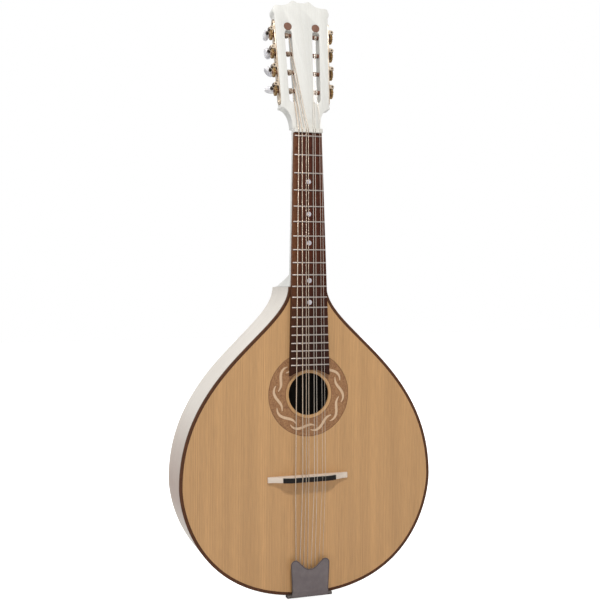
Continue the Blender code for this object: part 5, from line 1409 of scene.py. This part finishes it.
def winding(order, leave):
    """Points of a string's turns on its roller, which it comes to from the nut at leave."""
    diameter = DIAMETERS[order]
    sign = -1 if order < 4 else 1
    place = order if sign < 0 else 7 - order
    u = FIRST_ROLLER_U + place * ROLLER_PITCH
    up = Vector((sign * sin(EDGE_SLOPE), 0.0, cos(EDGE_SLOPE)))
    out = Vector((sign * cos(EDGE_SLOPE), 0.0, -sin(EDGE_SLOPE)))
    start = Vector((sign * head_edge(FIRST_ROLLER_U), ROLLER_V, FIRST_ROLLER_U))
    axis_point = start + up * (place * ROLLER_PITCH)
    middle = -(head_edge(u) - slot_centre(u)) / cos(EDGE_SLOPE)
    run_on = middle - RUN_ON_OFFSETS[place]
    coil = ROLLER_RADIUS + GAP / 3 + diameter / 2
    inner = HEAD_FRAME.inverted() @ leave
    climb = ROLLER_V - inner.y
    run = axis_point.z - inner.z
    dip = atan2(climb, run) - asin(coil / hypot(climb, run))
    points = []
    for step in range(round(WINDING_TURNS * WINDING_STEPS) + 1):
        turns = step / WINDING_STEPS
        turn = dip + 2 * pi * turns
        spot = axis_point + out * (run_on + (diameter + WINDING_SPACE) * turns)
        spot = spot + Vector((0.0, -coil * cos(turn), 0.0)) + up * (coil * sin(turn))
        points.append(HEAD_FRAME @ spot)
    return points + [points[-1] + (points[-1] - points[-2]).normalized() * 2 * diameter]


def string_route(order):
    """Points of one string from its eye at the tail to the end of its winding."""
    diameter = DIAMETERS[order]
    radius = diameter / 2
    x = TAILPIECE_MIDDLE_X + (order - 3.5) * HOOK_SPACING
    high = HOOK_Z + EYE_LENGTH
    bend = EYE_HALF_WIDTH
    eye = [(-radius - GAP / 2, high), (-bend, HOOK_Z)]
    eye += arc((0.0, HOOK_Z - SHEET - GAP - radius + bend), bend, 180, 360, 12)
    eye += [(bend, HOOK_Z), (radius, high)]
    points = [Vector((x + across, -2 * GAP - SHEET - radius, z)) for across, z in eye]
    leave = Vector((NUT_SPOTS[order], nut_y(diameter), HEAD_BREAK_Z - GAP / 2))
    points += [Vector((BRIDGE_SPOTS[order], saddle_y(diameter), SADDLE_Z)),
               Vector((NUT_SPOTS[order], zero_fret_y(diameter), 0.0)), leave]
    return points + winding(order, leave)


def make_strings():
    """Each string is a round tube; its distance along is kept for the wound wire's ridges."""
    turns = [2 * pi * side / STRING_SIDES for side in range(STRING_SIDES)]
    for order, diameter in enumerate(DIAMETERS):
        points = string_route(order)
        rings = []
        travelled = [0.0]
        normal = Vector((0.0, 1.0, 0.0))
        for index, point in enumerate(points):
            before = points[max(index - 1, 0)]
            after = points[min(index + 1, len(points) - 1)]
            along = (after - before).normalized()
            normal = (normal - along * normal.dot(along)).normalized()
            across = along.cross(normal)
            if index:
                travelled.append(travelled[-1] + (point - before).length)
            rings.append([point + (normal * cos(turn) + across * sin(turn)) * diameter / 2
                          for turn in turns])
        label = COURSE_NAMES[order // 2] + str(order % 2 + 1)
        finish, slot = STRING_STEEL, "steel"
        if diameter > WOUND_FROM:
            finish, slot = STRING_BRONZE, "bronze_wire"
        piece = show("string_wire_" + label, through(rings), finish, "string_" + label,
                     limit=60.0)
        attribute = piece.data.attributes.new("along", "FLOAT", "POINT")
        for index, value in enumerate(attribute.data):
            value.value = travelled[index // STRING_SIDES]


def dress_kept_nodes():
    """Finishes for the solids that keep their shape."""
    kept = {"tail_block": INNER_SPRUCE, "tailpiece_base": BASE_STEEL, "tailpiece_pin": BASE_STEEL}
    for name, finish in kept.items():
        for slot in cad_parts[name].material_slots:
            slot.link = "OBJECT"
            slot.material = finish


# Floor, light and camera

FLOOR_Z = -0.5660
FLOOR_HALF_SIZE = 6.0
FLOOR_GLOW = 0.95
FLOOR_GREYS = (0.86, 0.90)
SKY_COLOUR = (0.97, 0.98, 1.0)
SKY_STRENGTH = 0.28
# Place, target, side, power in watts and colour of each square lamp
LAMPS = {
    "key_box": ((-0.25, -1.75, 1.65), (0.0, 0.0, -0.45), 0.28, 33.5, (1.0, 0.985, 0.96)),
    "side_box": ((-1.15, 0.2, 1.3), (0.0, 0.0, -0.35), 0.9, 12.0, (0.99, 0.99, 1.0)),
    "fill_box": ((-0.8, -1.9, 0.1), (0.0, 0.0, -0.35), 1.0, 3.0, (1.0, 0.99, 0.97)),
    "back_box": ((0.7, 2.2, 0.9), (0.0, 0.0, -0.30), 1.2, 15.0, (1.0, 1.0, 1.0)),
}
PHOTO_PIXELS = 600.0
CAMERA_FOCAL_PIXELS = 947.7
CAMERA_SHIFT_PIXELS = (-1.0, -42.6)
CAMERA_PLACE = (-0.3686, -1.1027, -0.1870)
CAMERA_TURN = 17.96
CAMERA_PITCH = -1.89
CAMERA_ROLL = -0.45
SENSOR = 36.0


def make_floor():
    """Pale floor, white to the camera except where the object shades it."""
    made = Finish("pale_floor", Roughness=0.9, Specular_IOR_Level=0.1,
                  Emission_Color=(1.0, 1.0, 1.0, 1.0))
    camera_ray = made.put("LightPath").outputs["Is Camera Ray"]
    made.feed(made.shader["Emission Strength"], made.times(camera_ray, FLOOR_GLOW))
    dark, light = [(grey, grey, grey) for grey in FLOOR_GREYS]
    soft = made.cloud(made.place, 3.0, 2.0)
    made.feed(made.shader["Base Color"], made.ramp(soft, [(0.3, dark), (0.7, light)]))
    bm = bmesh.new()
    bmesh.ops.create_grid(bm, x_segments=1, y_segments=1, size=FLOOR_HALF_SIZE)
    floor = new_object("floor", mesh_of(move(bm, shifted(z=FLOOR_Z)), "floor"))
    floor.data.materials.append(made.material)


def make_world():
    """Soft white surroundings, plain white where the camera or a gloss looks at them."""
    world = bpy.data.worlds.new("studio")
    bpy.context.scene.world = world
    world.use_nodes = True
    world.node_tree.nodes.clear()
    made = Nodes(world.node_tree)
    path = made.put("LightPath").outputs
    seen = made.math("MAXIMUM", path["Is Camera Ray"], path["Is Glossy Ray"])
    seen = made.math("MAXIMUM", seen, path["Is Transmission Ray"])
    lit = made.put("Background", {"Color": SKY_COLOUR, "Strength": SKY_STRENGTH}).outputs[0]
    white = made.put("Background", {"Color": (1.0, 1.0, 1.0), "Strength": 1.0}).outputs[0]
    mixed = made.put("MixShader", {0: seen, 1: lit, 2: white}).outputs[0]
    made.put("OutputWorld", {"Surface": mixed})


def make_lights():
    for name, (place, target, side, power, colour) in LAMPS.items():
        lamp = bpy.data.lights.new(name, "AREA")
        lamp.shape = "RECTANGLE"
        lamp.size = side
        lamp.size_y = side
        lamp.energy = power
        lamp.color = colour
        made = new_object(name, lamp)
        made.location = place
        made.rotation_euler = (Vector(target) - Vector(place)).to_track_quat("-Z", "Y").to_euler()


def make_camera():
    """The fitted place, turn and lens of the photograph's camera."""
    data = bpy.data.cameras.new("camera")
    data.sensor_width = SENSOR
    data.lens = CAMERA_FOCAL_PIXELS / PHOTO_PIXELS * SENSOR
    data.shift_x = -CAMERA_SHIFT_PIXELS[0] / PHOTO_PIXELS
    data.shift_y = CAMERA_SHIFT_PIXELS[1] / PHOTO_PIXELS
    data.clip_start = 0.01
    data.clip_end = 50.0
    camera = new_object("camera", data)
    camera.matrix_world = (Matrix.Translation(CAMERA_PLACE)
                           @ Matrix.Rotation(-radians(CAMERA_TURN), 4, "Z")
                           @ Matrix.Rotation(pi / 2 - radians(CAMERA_PITCH), 4, "X")
                           @ Matrix.Rotation(radians(CAMERA_ROLL), 4, "Z"))
    bpy.context.scene.camera = camera


for make in (make_soundboard, make_rosette, make_binding, make_sides, make_back, make_neck,
             make_headstock, make_fingerboard, make_frets, make_dots, make_nut, make_bridge,
             make_tailpiece, make_tuners, make_strings, dress_kept_nodes, make_floor, make_world,
             make_lights, make_camera):
    make()
bpy.context.scene.view_settings.view_transform = "Standard"
